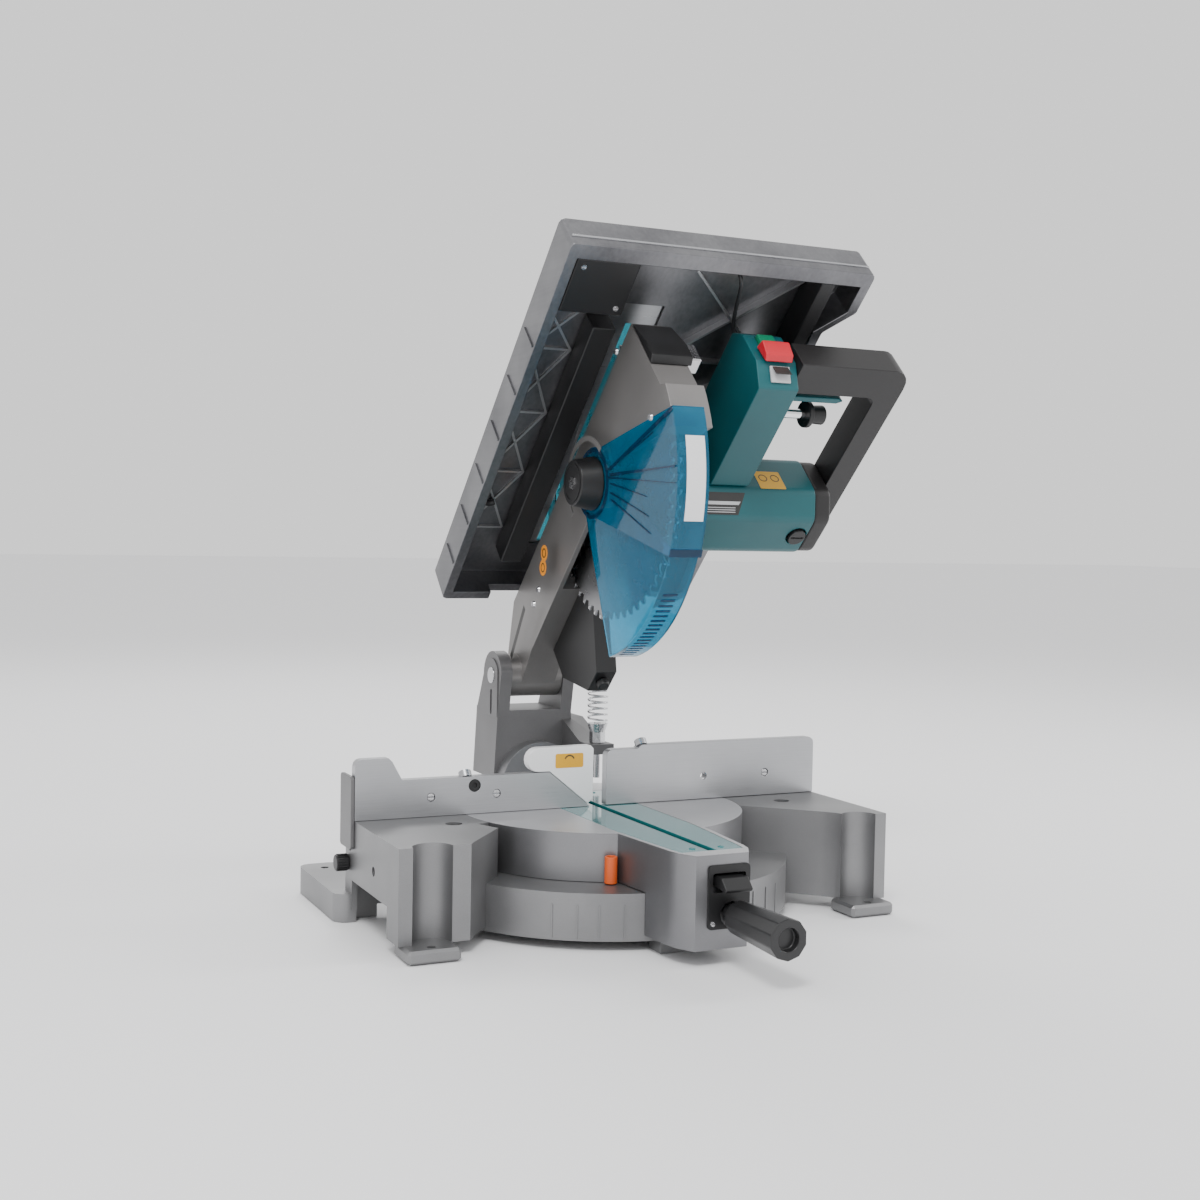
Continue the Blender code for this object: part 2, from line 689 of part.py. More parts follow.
def blade_case(joint):
    """The grey case over the blade, running back to the hinge barrel."""
    front = CASE_FRONT
    shape = [
        (front, CASE_LOW - 0.020),
        *arc((BLADE_Y, BLADE_Z), SKIRT_R, 193, SKIRT_END, 4),
        (BLADE_Y - HUB_RING, CASE_LOW),
        (0.150, CASE_LOW),
        (PIVOT_Y, PIVOT_Z - 0.026),
        (PIVOT_Y + 0.026, PIVOT_Z),
        (PIVOT_Y + 0.020, PIVOT_Z + 0.020),
        (0.150, CASE_TOP),
        (front, CASE_TOP - 0.004),
    ]
    case = outline("blade_case", "X", [shape], CASE_LEFT, CASE_RIGHT, joint, "grey paint")
    half = UPRIGHT_HALF - CHEEK - RUN
    barrel = rod("hinge barrel", (-half, PIVOT_Y, PIVOT_Z), (half, PIVOT_Y, PIVOT_Z), 0.0265)
    join(case, barrel)
    pocket_x = (CASE_LEFT + 0.006, CASE_RIGHT - 0.011)
    pocket = rod("blade pocket", (pocket_x[0], BLADE_Y, BLADE_Z), (pocket_x[1], BLADE_Y, BLADE_Z),
                 POCKET_R, sides=64)
    bore = rod("spindle bore", (0, BLADE_Y, BLADE_Z), (0.05, BLADE_Y, BLADE_Z), SPINDLE_R + 0.001, sides=24)
    pin = rod("barrel bore", (-0.1, PIVOT_Y, PIVOT_Z), (0.1, PIVOT_Y, PIVOT_Z), 0.0105, sides=24)
    return cut(case, pocket, bore, pin)


def head_fittings(joint):
    """The black bracket under the case, the nose, the catch and the bump stop."""
    shape = [(0.148, CASE_LOW - GAP), (0.020, CASE_LOW - GAP), (0.020, 0.195), (0.070, 0.124),
             (0.104, 0.124), (0.148, 0.180)]
    outline("head_bracket", "X", [shape], 0.008, 0.034, joint, "black plastic")
    rod("bump_stop", (0.020, 0.086, 0.124 - GAP), (0.020, 0.086, 0.115), 0.007, joint, "black plastic",
        sides=20)
    front = CASE_FRONT - GAP
    nose = [(front, 0.236), (front, CASE_TOP - 0.005), (front - 0.009, 0.262), (front - 0.009, 0.240)]
    outline("case_nose", "X", [nose], CASE_LEFT, CASE_RIGHT + 0.004, joint, "black plastic")
    low, high = (CASE_RIGHT + GAP, CASE_FRONT, 0.248), (CASE_RIGHT + 0.022, CASE_FRONT + 0.020, 0.276)
    return soften(block("case_catch", low, high, joint, "steel"), 0.002, 1)


def gear_housing(joint):
    """The housing between the case and the motor, around blade axis and motor axis."""
    shape = arc((BLADE_Y, BLADE_Z), 0.042, 90, 270, 12) + arc((MOTOR_Y, MOTOR_Z), 0.046, -90, 90, 12)
    x = (CASE_RIGHT + GAP, MOTOR_X[0] - GAP)
    housing = outline("gear_housing", "X", [shape], *x, joint, "black plastic")
    bore = rod("gear bore", (0, BLADE_Y, BLADE_Z), (MOTOR_X[0] - 0.015, BLADE_Y, BLADE_Z),
               SPINDLE_R + 0.001, sides=24)
    return cut(housing, bore)


def motor_outline(radius):
    """A square with cut and rounded corners round the motor's axis."""
    flat = radius * 0.52
    corners = [
        (flat, radius), (-flat, radius), (-radius, flat), (-radius, -flat),
        (-flat, -radius), (flat, -radius), (radius, -flat), (radius, flat),
    ]
    return rounded([(MOTOR_Y + y, MOTOR_Z + z) for y, z in corners], radius * 0.3, 2)


def motor(joint):
    """The motor's housing, end cap and brush cap."""
    body = outline("motor_housing", "X", [motor_outline(MOTOR_R)], *MOTOR_X, joint, "teal")
    brush_x = MOTOR_X[1] - 0.014
    low = MOTOR_Z - MOTOR_R
    well = rod("brush well", (brush_x, MOTOR_Y, low - WALL), (brush_x, MOTOR_Y, low + 0.006), 0.0125,
               sides=24)
    cut(body, well)
    cap = rod("brush_cap", (brush_x, MOTOR_Y, low - 0.003), (brush_x, MOTOR_Y, low + 0.0057), 0.0110,
              joint, "black plastic", sides=20)
    slot = block("brush slot", (brush_x - 0.008, MOTOR_Y - 0.001, low - 0.004),
                 (brush_x + 0.008, MOTOR_Y + 0.001, low - 0.001))
    cut(cap, slot)
    x = MOTOR_X[1] + GAP
    end = outline("motor_end_cap", "X", [motor_outline(MOTOR_R * 0.97)], x, x + END_CAP_T, joint,
                  "brown black")
    return end


def handle(joint):
    """The D handle: a grip bar across the front and a leg back to the motor's end."""
    left = BOX_X[1] + GAP
    inner = MOTOR_X[1] + 2 * GAP + END_CAP_T
    outer = inner + HANDLE_T
    back = HANDLE_FRONT + GRIP_BAR
    leg_end = MOTOR_Y + 0.030
    shape = [(left, HANDLE_FRONT), *arc((outer - 0.022, HANDLE_FRONT + 0.022), 0.022, -90, 0, 5)]
    shape += [*arc((outer - 0.012, leg_end - 0.012), 0.012, 0, 90, 4), (inner, leg_end)]
    shape += [*arc((inner - 0.010, back + 0.010), 0.010, 0, -90, 4), (left, back)]
    z = MOTOR_Z + 0.008
    grip = outline("main_handle", "Z", [shape], z - HANDLE_H / 2, z + HANDLE_H / 2, joint, "brown black")
    return soften(grip, 0.009, 3)


def switch_box(joint):
    """The teal switch housing at the left end of the grip bar."""
    back = MOTOR_Y - MOTOR_R - GAP
    low, high = BOX_Z
    shape = [
        (BOX_FRONT, low + 0.026), (BOX_FRONT + 0.016, low), (back, low), (back, high),
        (BOX_FRONT + 0.012, high), (BOX_FRONT, high - 0.018),
    ]
    box = outline("switch_box", "X", [rounded(shape, 0.004, 2)], *BOX_X, joint, "teal")
    middle = sum(BOX_X) / 2
    face = BOX_FRONT - GAP
    x, z = (middle - 0.010, middle + 0.010), (high - 0.036, high - 0.021)
    well = block("button well", (x[0] - RUN, face - WALL, z[0] - RUN), (x[1] + RUN, face + 0.007, z[1] + RUN))
    cut(box, well)
    press = pivot("start_axis", (middle, face, high - 0.028), joint)
    block("start_button", (x[0], face - 0.004, z[0]), (x[1], face + 0.003, z[1]), press, "green")
    hinge = pivot("stop_axis", (middle, face - 0.003, high - 0.041), joint)
    paddle = [(face - 0.001, high - 0.040), (face - 0.0025, high - 0.066), (face - 0.010, high - 0.062),
              (face - 0.014, high - 0.044)]
    outline("stop_paddle", "X", [paddle], middle - 0.017, middle + 0.017, hinge, "red")
    slope = Vector((0.016, -0.026)).normalized()
    out = Vector((-0.026, -0.016)).normalized() * 0.0025
    start = Vector((BOX_FRONT, low + 0.026)) + slope * 0.006 + out * 0.12
    end = start + slope * 0.018
    window = [tuple(start), tuple(end), tuple(end + out), tuple(start + out)]
    return outline("switch_window", "X", [window], middle - 0.010, middle + 0.014, joint, "steel")


def trigger(joint):
    """The trigger behind the grip bar, hinged beside the switch box."""
    left, y = BOX_X[1] + 0.002, HANDLE_FRONT + GRIP_BAR
    hinge = pivot("trigger_axis", (left, y + 0.012, MOTOR_Z + 0.008), joint)
    shape = [(left - 0.0012, y + 0.009), (left + 0.070, y + 0.0085), (left + 0.078, y + 0.012),
             (left + 0.070, y + 0.016),
             (left - 0.0012, y + 0.016)]
    return outline("trigger", "Z", [shape], MOTOR_Z - 0.004, MOTOR_Z + 0.020, hinge, "teal")


def clamp_knob(joint):
    """The knob on a chrome shaft inside the handle's opening."""
    at = (-0.229, MOTOR_Z)
    axis = pivot("clamp_axis", (BOX_X[1], *at), joint)
    x = BOX_X[1] + GAP
    shaft = rod("clamp_shaft", (x, *at), (x + 0.040, *at), 0.0055, axis, "chrome", sides=24)
    x += 0.040 + GAP
    knob = rod("clamp_knob", (x, *at), (x + 0.006, *at), 0.0150, axis, "black plastic", sides=24)
    join(knob, rod("knob body", (x + 0.005, *at), (x + 0.024, *at), 0.0100, tip=0.0110, sides=24))
    return shaft


# Blade

def saw_blade(joint):
    """The toothed disc with its flanges, spindle and bolt."""
    points = []
    for k in range(TEETH):
        for share, radius in ((0.0, BLADE_R), (0.28, BLADE_R - 0.0015), (0.45, BLADE_R - 0.0090),
                              (0.85, BLADE_R - 0.0075)):
            turn = 2 * math.pi * (k + share) / TEETH
            points.append((BLADE_Y + radius * math.cos(turn), BLADE_Z + radius * math.sin(turn)))
    hole = ring((BLADE_Y, BLADE_Z), BORE_R)
    outline("saw_blade", "X", [points, hole], -BLADE_T / 2, BLADE_T / 2, joint, "steel")
    at = (BLADE_Y, BLADE_Z)
    x = BLADE_T / 2 + GAP
    spindle = rod("spindle", (x, *at), (MOTOR_X[0] - 0.017, *at), SPINDLE_R, joint, "steel", sides=24)
    join(spindle, rod("inner flange", (x, *at), (x + 0.005, *at), 0.026))
    rod("outer_flange", (-x, *at), (-x - 0.004, *at), 0.026, joint, "steel")
    x += 0.004 + GAP
    return rod("arbor_bolt", (-x, *at), (-x - 0.005, *at), 0.0095, joint, "steel", sides=6)


# Lower guard leaves

def leaf(name, joint, angles, radius, cheek_x):
    """One translucent leaf: a cheek beside the case with a rim across the blade's edge."""
    centre = (BLADE_Y, BLADE_Z)
    steps = max(6, round((angles[1] - angles[0]) / 4))
    fan = arc(centre, radius - 0.001, *angles, steps)
    collar = arc(centre, HUB_RING, angles[1] + 50, angles[0] + 360 - 50, 16)
    sheet = outline(name, "X", [fan + collar, ring(centre, HUB_R + GAP, 24)], *cheek_x, joint, "clear blue")
    band = arc(centre, radius, *angles, steps) + arc(centre, radius - LEAF_T, angles[1], angles[0], steps)
    return join(sheet, outline(f"{name} rim", "X", [band], cheek_x[0] + 0.0002, LEAF_RIGHT))


def guard(head):
    """Two leaves that nest as the head comes down, on a fixed hub."""
    at = (BLADE_Y, BLADE_Z)
    inner = (CASE_LEFT - RUN - LEAF_CHEEK, CASE_LEFT - RUN)
    outer = (inner[0] - RUN - LEAF_CHEEK, inner[0] - RUN)
    lower = pivot("lower_leaf_axis", (0, *at), head)
    upper = pivot("upper_leaf_axis", (0, *at), head)
    leaf("guard_lower_leaf", lower, LOWER_LEAF, LEAF_R - LEAF_T - RUN - GAP, inner)
    leaf("guard_upper_leaf", upper, UPPER_LEAF, LEAF_R, outer)
    left = outer[0] - RUN
    hub = rod("guard_hub", (CASE_LEFT - GAP, *at), (left, *at), HUB_R, head, "black plastic")
    return join(hub, rod("hub cap", (left, *at), (-0.050, *at), 0.030, tip=0.025))


# Upper table

def table_plan(inset, back_inset=0.0):
    """The upper table's plan, with its right rear cut narrower."""
    left, right, narrow = TOP_LEFT + inset, TOP_RIGHT - inset, TOP_RIGHT_BACK - inset
    front, back = TOP_FRONT + inset, TOP_BACK - max(inset, back_inset)
    return [(left, front), (right, front), (right, -0.330), (narrow, -0.300), (narrow, back), (left, back)]


def upper_table(joint):
    """The saw table: a thin plate with an apron all round, a slot and an insert bed."""
    plan = rounded(table_plan(0.0), 0.006, 2)
    table = outline("upper_table", "Z", [plan], TOP_Z - APRON, TOP_Z, joint, "machined silver")
    inside = table_plan(APRON_T)
    inside[0] = (inside[0][0], TOP_FRONT + FRONT_RAIL)
    inside[1] = (inside[1][0], TOP_FRONT + FRONT_RAIL)
    hollow = outline("under table", "Z", [inside], TOP_Z - APRON - WALL, TOP_Z - TOP_T)
    bed = rounded(box_outline((-INSERT_HALF - GAP, -0.300), (INSERT_HALF + GAP, 0.085)), 0.006, 2)
    insert_bed = outline("insert bed", "Z", [bed], TOP_Z - INSERT_T - GAP, TOP_Z + WALL)
    slot = block("table slot", (-0.030, -0.290, TOP_Z - 2 * TOP_T), (0.030, 0.075, TOP_Z + WALL))
    low = (-0.060, TOP_BACK - 2 * APRON_T, TOP_Z - APRON - WALL)
    high = (0.036, TOP_BACK + WALL, CASE_TOP + 0.004)
    passage = block("case passage", low, high)
    return cut(table, hollow, insert_bed, slot, passage)


def table_fittings(joint):
    """Insert, throat bar, black box, rip-fence rail and push stick."""
    plan = rounded(box_outline((-INSERT_HALF, -0.300 + GAP), (INSERT_HALF, 0.085 - GAP)), 0.0057, 2)
    slot = box_outline((-0.005, -0.262), (0.005, 0.072))
    outline("table_insert", "Z", [plan, slot], TOP_Z - INSERT_T, TOP_Z, joint, "cast silver")
    under = TOP_Z - TOP_T - GAP
    block("throat_bar", (-0.058, -0.275, CASE_TOP + RUN), (-0.0305, 0.080, under), joint, "black plastic")
    block("under_table_box", (-0.106, -0.362, 0.302), (-0.034, -0.295, under), joint, "black plastic")
    low = (TOP_RIGHT_BACK - APRON_T - 0.018, TOP_FRONT + FRONT_RAIL + GAP, 0.298)
    high = (TOP_RIGHT_BACK - APRON_T - GAP, TOP_BACK - APRON_T - GAP, under)
    block("rip_fence_rail", low, high, joint, "black plastic")
    route = [(-0.100, -0.290 + GAP, 0.326), (-0.100, -0.008, 0.326)]
    route += [(-0.100 + x, -0.008 + y, 0.326) for x, y in arc((0.009, 0.0), 0.009, 180, 45, 6)]
    return tube("push_stick", route, 0.0042, joint, "black plastic")


def blade_cover(head, table):
    """The riving knife behind the blade, and the clear cover that swings up from the table."""
    centre = (BLADE_Y, BLADE_Z)
    start = math.degrees(math.asin((CASE_TOP + GAP - BLADE_Z) / (BLADE_R + 0.030)))
    knife = arc(centre, BLADE_R + 0.007, 27, 56, 8) + arc(centre, BLADE_R + 0.028, 52, start, 8)
    outline("riving_knife", "X", [knife], -KNIFE_T / 2, KNIFE_T / 2, head, "steel")
    top, low = TOP_Z + COVER_H, TOP_Z + 0.0015
    shape = [(COVER_FRONT, low), (COVER_BACK, low), (COVER_BACK, top - 0.045), (COVER_BACK - 0.060, top)]
    shape += [(COVER_FRONT + 0.030, top), (COVER_FRONT, top - 0.020)]
    hinge = pivot("cover_axis", (0, COVER_BACK - 0.004, TOP_Z + 0.006), table)
    cover = outline("blade_cover", "X", [shape], -COVER_HALF, COVER_HALF, hinge, "clear blue")
    centre = Vector((sum(p[0] for p in shape) / len(shape), sum(p[1] for p in shape) / len(shape)))
    inner = []
    for y, z in shape:
        inner.append((y + math.copysign(COVER_T, centre.x - y), z - 0.01 if z == low else z - COVER_T))
    hollow = outline("cover inside", "X", [inner], COVER_T - COVER_HALF, COVER_HALF - COVER_T)
    return cut(cover, hollow)


def switch_lead(head, table):
    """The short lead from the switch box to its clip below the table's front."""
    top = BOX_Z[1] + GAP
    x, y = BOX_X[0] + 0.008, BOX_FRONT + 0.022
    end = (x - 0.026, TOP_FRONT + FRONT_RAIL + 0.009)
    clip_low = TOP_Z - TOP_T - 0.014
    route = [(x, y, top + 0.003), (x - 0.004, y - 0.012, top + 0.009), (x - 0.012, y - 0.034, top + 0.006)]
    route += [(x - 0.022, end[1] + 0.010, top + 0.002), (*end, clip_low - 0.006), (*end, clip_low - 2 * RUN)]
    low = (end[0] - 0.007, end[1] - 0.005, clip_low)
    high = (end[0] + 0.007, end[1] + 0.005, TOP_Z - TOP_T - GAP)
    block("lead_clip", low, high, table, "black plastic")
    return tube("switch_lead", catmull(route, 4), 0.0022, head, "black plastic", 2)


def catmull(route, steps):
    """A smooth curve through the route's points."""
    knots = [Vector(p) for p in (route[0], *route, route[-1])]
    points = []
    for a, b, c, d in zip(knots, knots[1:], knots[2:], knots[3:]):
        for k in range(steps):
            t = k / steps
            square = 2 * a - 5 * b + 4 * c - d
            cube = 3 * b - a - 3 * c + d
            points.append(0.5 * (2 * b + (c - a) * t + square * t**2 + cube * t**3))
    return [*points, knots[-1]]


def build():
    base_casting()
    left_fence()
    right_fence()
    left_sub_fence(pivot("sub_fence_axis", (SUB_PIVOT[0], 0, TABLE_H + SUB_PIVOT[1])))
    base_fittings()

    mitre = pivot("mitre_axis", (0, 0, TABLE_H))
    turntable(mitre)
    kerf_plates(mitre)
    orange_pin(mitre)
    mitre_grip(pivot("grip_axis", (GRIP_X, -ARM_REACH, GRIP_Z), mitre))
    detent_lever(pivot("detent_axis", (0, -ARM_REACH + 0.02, 0.084), mitre))

    bevel = pivot("bevel_axis", (0, NECK_BACK, TABLE_H), mitre)
    tilt_arm(bevel)
    stop_parts(bevel)
    bevel_lever(pivot("bevel_lever_axis", (0, UPRIGHT_BACK, TABLE_H), bevel))

    head = pivot("chop_axis", (0, PIVOT_Y, PIVOT_Z), bevel, (-math.radians(CHOP_DEG), 0, 0))
    blade_case(head)
    head_fittings(head)
    gear_housing(head)
    motor(head)
    handle(head)
    switch_box(head)
    trigger(head)
    clamp_knob(head)
    saw_blade(pivot("blade_axis", (0, BLADE_Y, BLADE_Z), head))
    guard(head)

    table = pivot("table_slide", (0, 0, TOP_Z), head)
    upper_table(table)
    table_fittings(table)
    blade_cover(head, table)
    switch_lead(head, table)


clear_scene()
PARTS = collection("mitre_saw")
CUTTERS = collection("cutters")
build()
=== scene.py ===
"""The looks of a table-top mitre saw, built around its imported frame."""

import json
import math

import bmesh
import bpy
import numpy as np
from mathutils import Matrix, Vector


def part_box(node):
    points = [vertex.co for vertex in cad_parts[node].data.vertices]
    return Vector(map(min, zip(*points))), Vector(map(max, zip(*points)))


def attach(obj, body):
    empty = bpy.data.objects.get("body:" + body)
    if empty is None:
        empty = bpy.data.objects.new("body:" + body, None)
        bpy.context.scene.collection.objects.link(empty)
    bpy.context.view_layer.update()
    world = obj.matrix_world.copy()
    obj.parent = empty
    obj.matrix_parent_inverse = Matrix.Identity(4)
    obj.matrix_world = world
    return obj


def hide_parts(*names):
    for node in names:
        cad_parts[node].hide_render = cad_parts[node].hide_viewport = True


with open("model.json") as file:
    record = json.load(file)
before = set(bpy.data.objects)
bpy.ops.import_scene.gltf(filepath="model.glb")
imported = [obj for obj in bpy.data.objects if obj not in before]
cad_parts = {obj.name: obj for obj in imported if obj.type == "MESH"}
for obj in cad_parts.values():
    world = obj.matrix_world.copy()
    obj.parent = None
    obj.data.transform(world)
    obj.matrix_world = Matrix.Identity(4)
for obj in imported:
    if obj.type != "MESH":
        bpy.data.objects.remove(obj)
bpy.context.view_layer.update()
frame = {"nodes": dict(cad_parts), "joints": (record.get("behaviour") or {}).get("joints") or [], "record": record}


# Camera, floor and light.
# The saw stands on a plain pale floor under one large soft lamp in front and a smaller one behind.

CAMERA_AT = Vector((-0.7424, -1.5561, 0.4152))
CAMERA_LENS = 46.27
HEADING, DIP, ROLL = (math.radians(a) for a in (-25.385, 2.486, 1.057))
FLOOR_SIZE = 40.0
FLOOR_COLOUR = (0.90, 0.90, 0.91, 1.0)
SKY_COLOUR = (1.0, 1.0, 1.0, 1.0)
SKY_STRENGTH = 1.15
LAMPS = (
    ("front lamp", (-1.2, -1.8, 2.8), 0.9, 60.0),
    ("side lamp", (2.4, -0.6, 1.4), 0.7, 20.0),
    ("back lamp", (0.4, 2.2, 2.4), 1.0, 30.0),
)

ahead = Vector((-math.sin(HEADING) * math.cos(DIP), math.cos(HEADING) * math.cos(DIP), -math.sin(DIP)))
right = Vector((math.cos(HEADING), math.sin(HEADING), 0.0))
up = right.cross(ahead)
tilted_right = right * math.cos(ROLL) + up * math.sin(ROLL)
tilted_up = up * math.cos(ROLL) - right * math.sin(ROLL)
camera = bpy.data.objects.new("camera", bpy.data.cameras.new("camera"))
camera.data.lens = CAMERA_LENS
turned_camera = Matrix((tilted_right, tilted_up, -ahead)).transposed().to_4x4()
camera.matrix_world = Matrix.Translation(CAMERA_AT) @ turned_camera
bpy.context.scene.collection.objects.link(camera)
bpy.context.scene.camera = camera

sky = bpy.data.worlds.new("studio")
sky.use_nodes = True
sky.node_tree.nodes["Background"].inputs["Color"].default_value = SKY_COLOUR
sky.node_tree.nodes["Background"].inputs["Strength"].default_value = SKY_STRENGTH
bpy.context.scene.world = sky
for name, at, width, power in LAMPS:
    lamp = bpy.data.objects.new(name, bpy.data.lights.new(name, "AREA"))
    lamp.data.size = width
    lamp.data.energy = power
    lamp.location = at
    lamp.rotation_euler = (Vector((0.0, 0.0, 0.3)) - Vector(at)).to_track_quat("-Z", "Y").to_euler()
    bpy.context.scene.collection.objects.link(lamp)

sheet = bmesh.new()
bmesh.ops.create_grid(sheet, x_segments=1, y_segments=1, size=FLOOR_SIZE / 2)
floor = bpy.data.objects.new("floor", bpy.data.meshes.new("floor"))
sheet.to_mesh(floor.data)
sheet.free()
bpy.context.scene.collection.objects.link(floor)
pale = bpy.data.materials.new("pale floor")
pale.use_nodes = True
pale.node_tree.nodes["Principled BSDF"].inputs["Base Color"].default_value = FLOOR_COLOUR
pale.node_tree.nodes["Principled BSDF"].inputs["Roughness"].default_value = 0.85
floor.data.materials.append(pale)
floor.location.z = -0.0005


# Base casting.
# One pressure-cast aluminium piece, bead-blasted and left bare: a round deck with a wing at each
# side, four feet and two sockets. Its front wall carries pairs of thin ribs under a plain rim.

CAST_EDGE = 0.0012
CAST_LIGHT, CAST_DARK = (0.30, 0.30, 0.305), (0.22, 0.22, 0.225)
SIDE_HOLES = ((0.016, 0.079, 0.0042), (-0.068, 0.070, 0.0050))
TOP_HOLES = ((-0.190, -0.045), (0.215, -0.040))
TOP_HOLE_R = 0.009
WING_TOP = 0.0996
RIB_TURNS = (-128, -121, -115, -108, -99, -96, -90, -87, -79, -76, -68, -65, -58, -51)
RIB_SIZE = (0.0016, 0.0018, 0.034)
RIB_BASE = 0.012


def finish(name, light, dark, rough, metallic=0.0, grain=900.0, stretch=(1, 1, 1), relief=0.00003, patch=9.0):
    """A finish that drifts between two shades, with fine grain in its gloss and its relief."""
    made = bpy.data.materials.new(name)
    made.use_nodes = True
    tree = made.node_tree
    shader = tree.nodes["Principled BSDF"]
    shader.inputs["Metallic"].default_value = metallic
    place = tree.nodes.new("ShaderNodeTexCoord")
    spread = tree.nodes.new("ShaderNodeMapping")
    spread.inputs["Scale"].default_value = stretch
    tree.links.new(place.outputs["Object"], spread.inputs["Vector"])
    cloud = tree.nodes.new("ShaderNodeTexNoise")
    cloud.inputs["Scale"].default_value = patch
    cloud.inputs["Detail"].default_value = 4.0
    tree.links.new(place.outputs["Object"], cloud.inputs["Vector"])
    speck = tree.nodes.new("ShaderNodeTexNoise")
    speck.inputs["Scale"].default_value = grain
    speck.inputs["Detail"].default_value = 3.0
    tree.links.new(spread.outputs["Vector"], speck.inputs["Vector"])
    both = tree.nodes.new("ShaderNodeMath")
    both.operation = "MULTIPLY_ADD"
    both.inputs[1].default_value = 0.45
    tree.links.new(speck.outputs["Fac"], both.inputs[0])
    tree.links.new(cloud.outputs["Fac"], both.inputs[2])
    ramp = tree.nodes.new("ShaderNodeValToRGB")
    ramp.color_ramp.elements[0].position = 0.45
    ramp.color_ramp.elements[1].position = 0.95
    ramp.color_ramp.elements[0].color = (*dark, 1.0)
    ramp.color_ramp.elements[1].color = (*light, 1.0)
    tree.links.new(both.outputs["Value"], ramp.inputs["Fac"])
    tree.links.new(ramp.outputs["Color"], shader.inputs["Base Color"])
    gloss = tree.nodes.new("ShaderNodeMapRange")
    gloss.inputs["To Min"].default_value = rough[0]
    gloss.inputs["To Max"].default_value = rough[1]
    tree.links.new(speck.outputs["Fac"], gloss.inputs["Value"])
    tree.links.new(gloss.outputs["Result"], shader.inputs["Roughness"])
    bump = tree.nodes.new("ShaderNodeBump")
    bump.inputs["Distance"].default_value = relief
    tree.links.new(speck.outputs["Fac"], bump.inputs["Height"])
    tree.links.new(bump.outputs["Normal"], shader.inputs["Normal"])
    return made


def plain(obj, *finishes):
    """The object's modifiers taken into its mesh, with its finishes in its slots."""
    bpy.context.view_layer.update()
    mesh = bpy.data.meshes.new_from_object(obj.evaluated_get(bpy.context.evaluated_depsgraph_get()))
    obj.modifiers.clear()
    obj.data = mesh
    mesh.transform(obj.matrix_world)
    obj.matrix_world = Matrix.Identity(4)
    if finishes:
        mesh.materials.clear()
        for one in finishes:
            mesh.materials.append(one)
    return obj


def sharp(obj, angle=32.0):
    obj.data.shade_smooth()
    obj.data.set_sharp_from_angle(angle=math.radians(angle))
    return obj


def add(name, shape):
    """An object from a bmesh, which is used up."""
    made = bpy.data.objects.new(name, bpy.data.meshes.new(name))
    shape.to_mesh(made.data)
    shape.free()
    bpy.context.scene.collection.objects.link(made)
    return made


def cylinder(name, start, end, radius, tip=None, sides=32):
    shape = bmesh.new()
    along = Vector(end) - Vector(start)
    bmesh.ops.create_cone(shape, cap_ends=True, segments=sides, radius1=radius, depth=along.length,
                          radius2=radius if tip is None else tip)
    turn = Vector((0, 0, 1)).rotation_difference(along).to_matrix().to_4x4()
    middle = Matrix.Translation((Vector(start) + Vector(end)) / 2)
    bmesh.ops.transform(shape, matrix=middle @ turn, verts=shape.verts)
    return sharp(add(name, shape))


def block(name, low, high, edge=0.0, segments=2):
    """A box between two corners with rounded edges."""
    low, high = Vector(low), Vector(high)
    shape = bmesh.new()
    bmesh.ops.create_cube(shape, size=1.0)
    bmesh.ops.scale(shape, vec=high - low, verts=shape.verts)
    bmesh.ops.translate(shape, vec=(low + high) / 2, verts=shape.verts)
    if edge:
        bmesh.ops.bevel(shape, geom=shape.edges[:], offset=edge, segments=segments, affect="EDGES",
                        profile=0.5)
    return sharp(add(name, shape))


def cut(obj, *tools):
    for tool in tools:
        change = obj.modifiers.new("cut", "BOOLEAN")
        change.operation = "DIFFERENCE"
        change.object = tool
    plain(obj)
    for tool in tools:
        bpy.data.objects.remove(tool, do_unlink=True)
    return obj


def merged(node):
    """A copy of a node with its loose triangles merged and its flat faces made whole."""
    shape = bmesh.new()
    shape.from_mesh(frame["nodes"][node].data)
    bmesh.ops.remove_doubles(shape, verts=shape.verts, dist=0.00001)
    bmesh.ops.dissolve_limit(shape, angle_limit=math.radians(0.5), verts=shape.verts, edges=shape.edges)
    return add(f"{node}_made", shape)


def round_edges(obj, width, segments=2, angle=35.0):
    soft = obj.modifiers.new("edges", "BEVEL")
    soft.width = width
    soft.segments = segments
    soft.limit_method = "ANGLE"
    soft.angle_limit = math.radians(angle)
    sharp(plain(obj), 40.0)
    even = obj.modifiers.new("normals", "WEIGHTED_NORMAL")
    even.keep_sharp = True
    return plain(obj)


def settle(obj, body, slot, *finishes, stands_for=()):
    """The finished piece, painted and set on its body."""
    if finishes:
        obj.data.materials.clear()
        for one in finishes:
            obj.data.materials.append(one)
    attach(obj, body)
    if stands_for:
        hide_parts(*stands_for)
    return obj


def body_of(node):
    return next(body for body, nodes in frame["record"]["behaviour"]["bodies"].items() if node in nodes)


def slot_of(node):
    return next(s["material_slot"] for s in frame["record"]["subparts"] if s["node"] == node)


def dressed(node, edge, *finishes, segments=2, tools=(), angle=35.0):
    """A node's shape with rounded edges and cuts, standing for it."""
    made = merged(node)
    if tools:
        cut(made, *tools)
    round_edges(made, edge, segments, angle)
    return settle(made, body_of(node), slot_of(node), *finishes, stands_for=(node,))


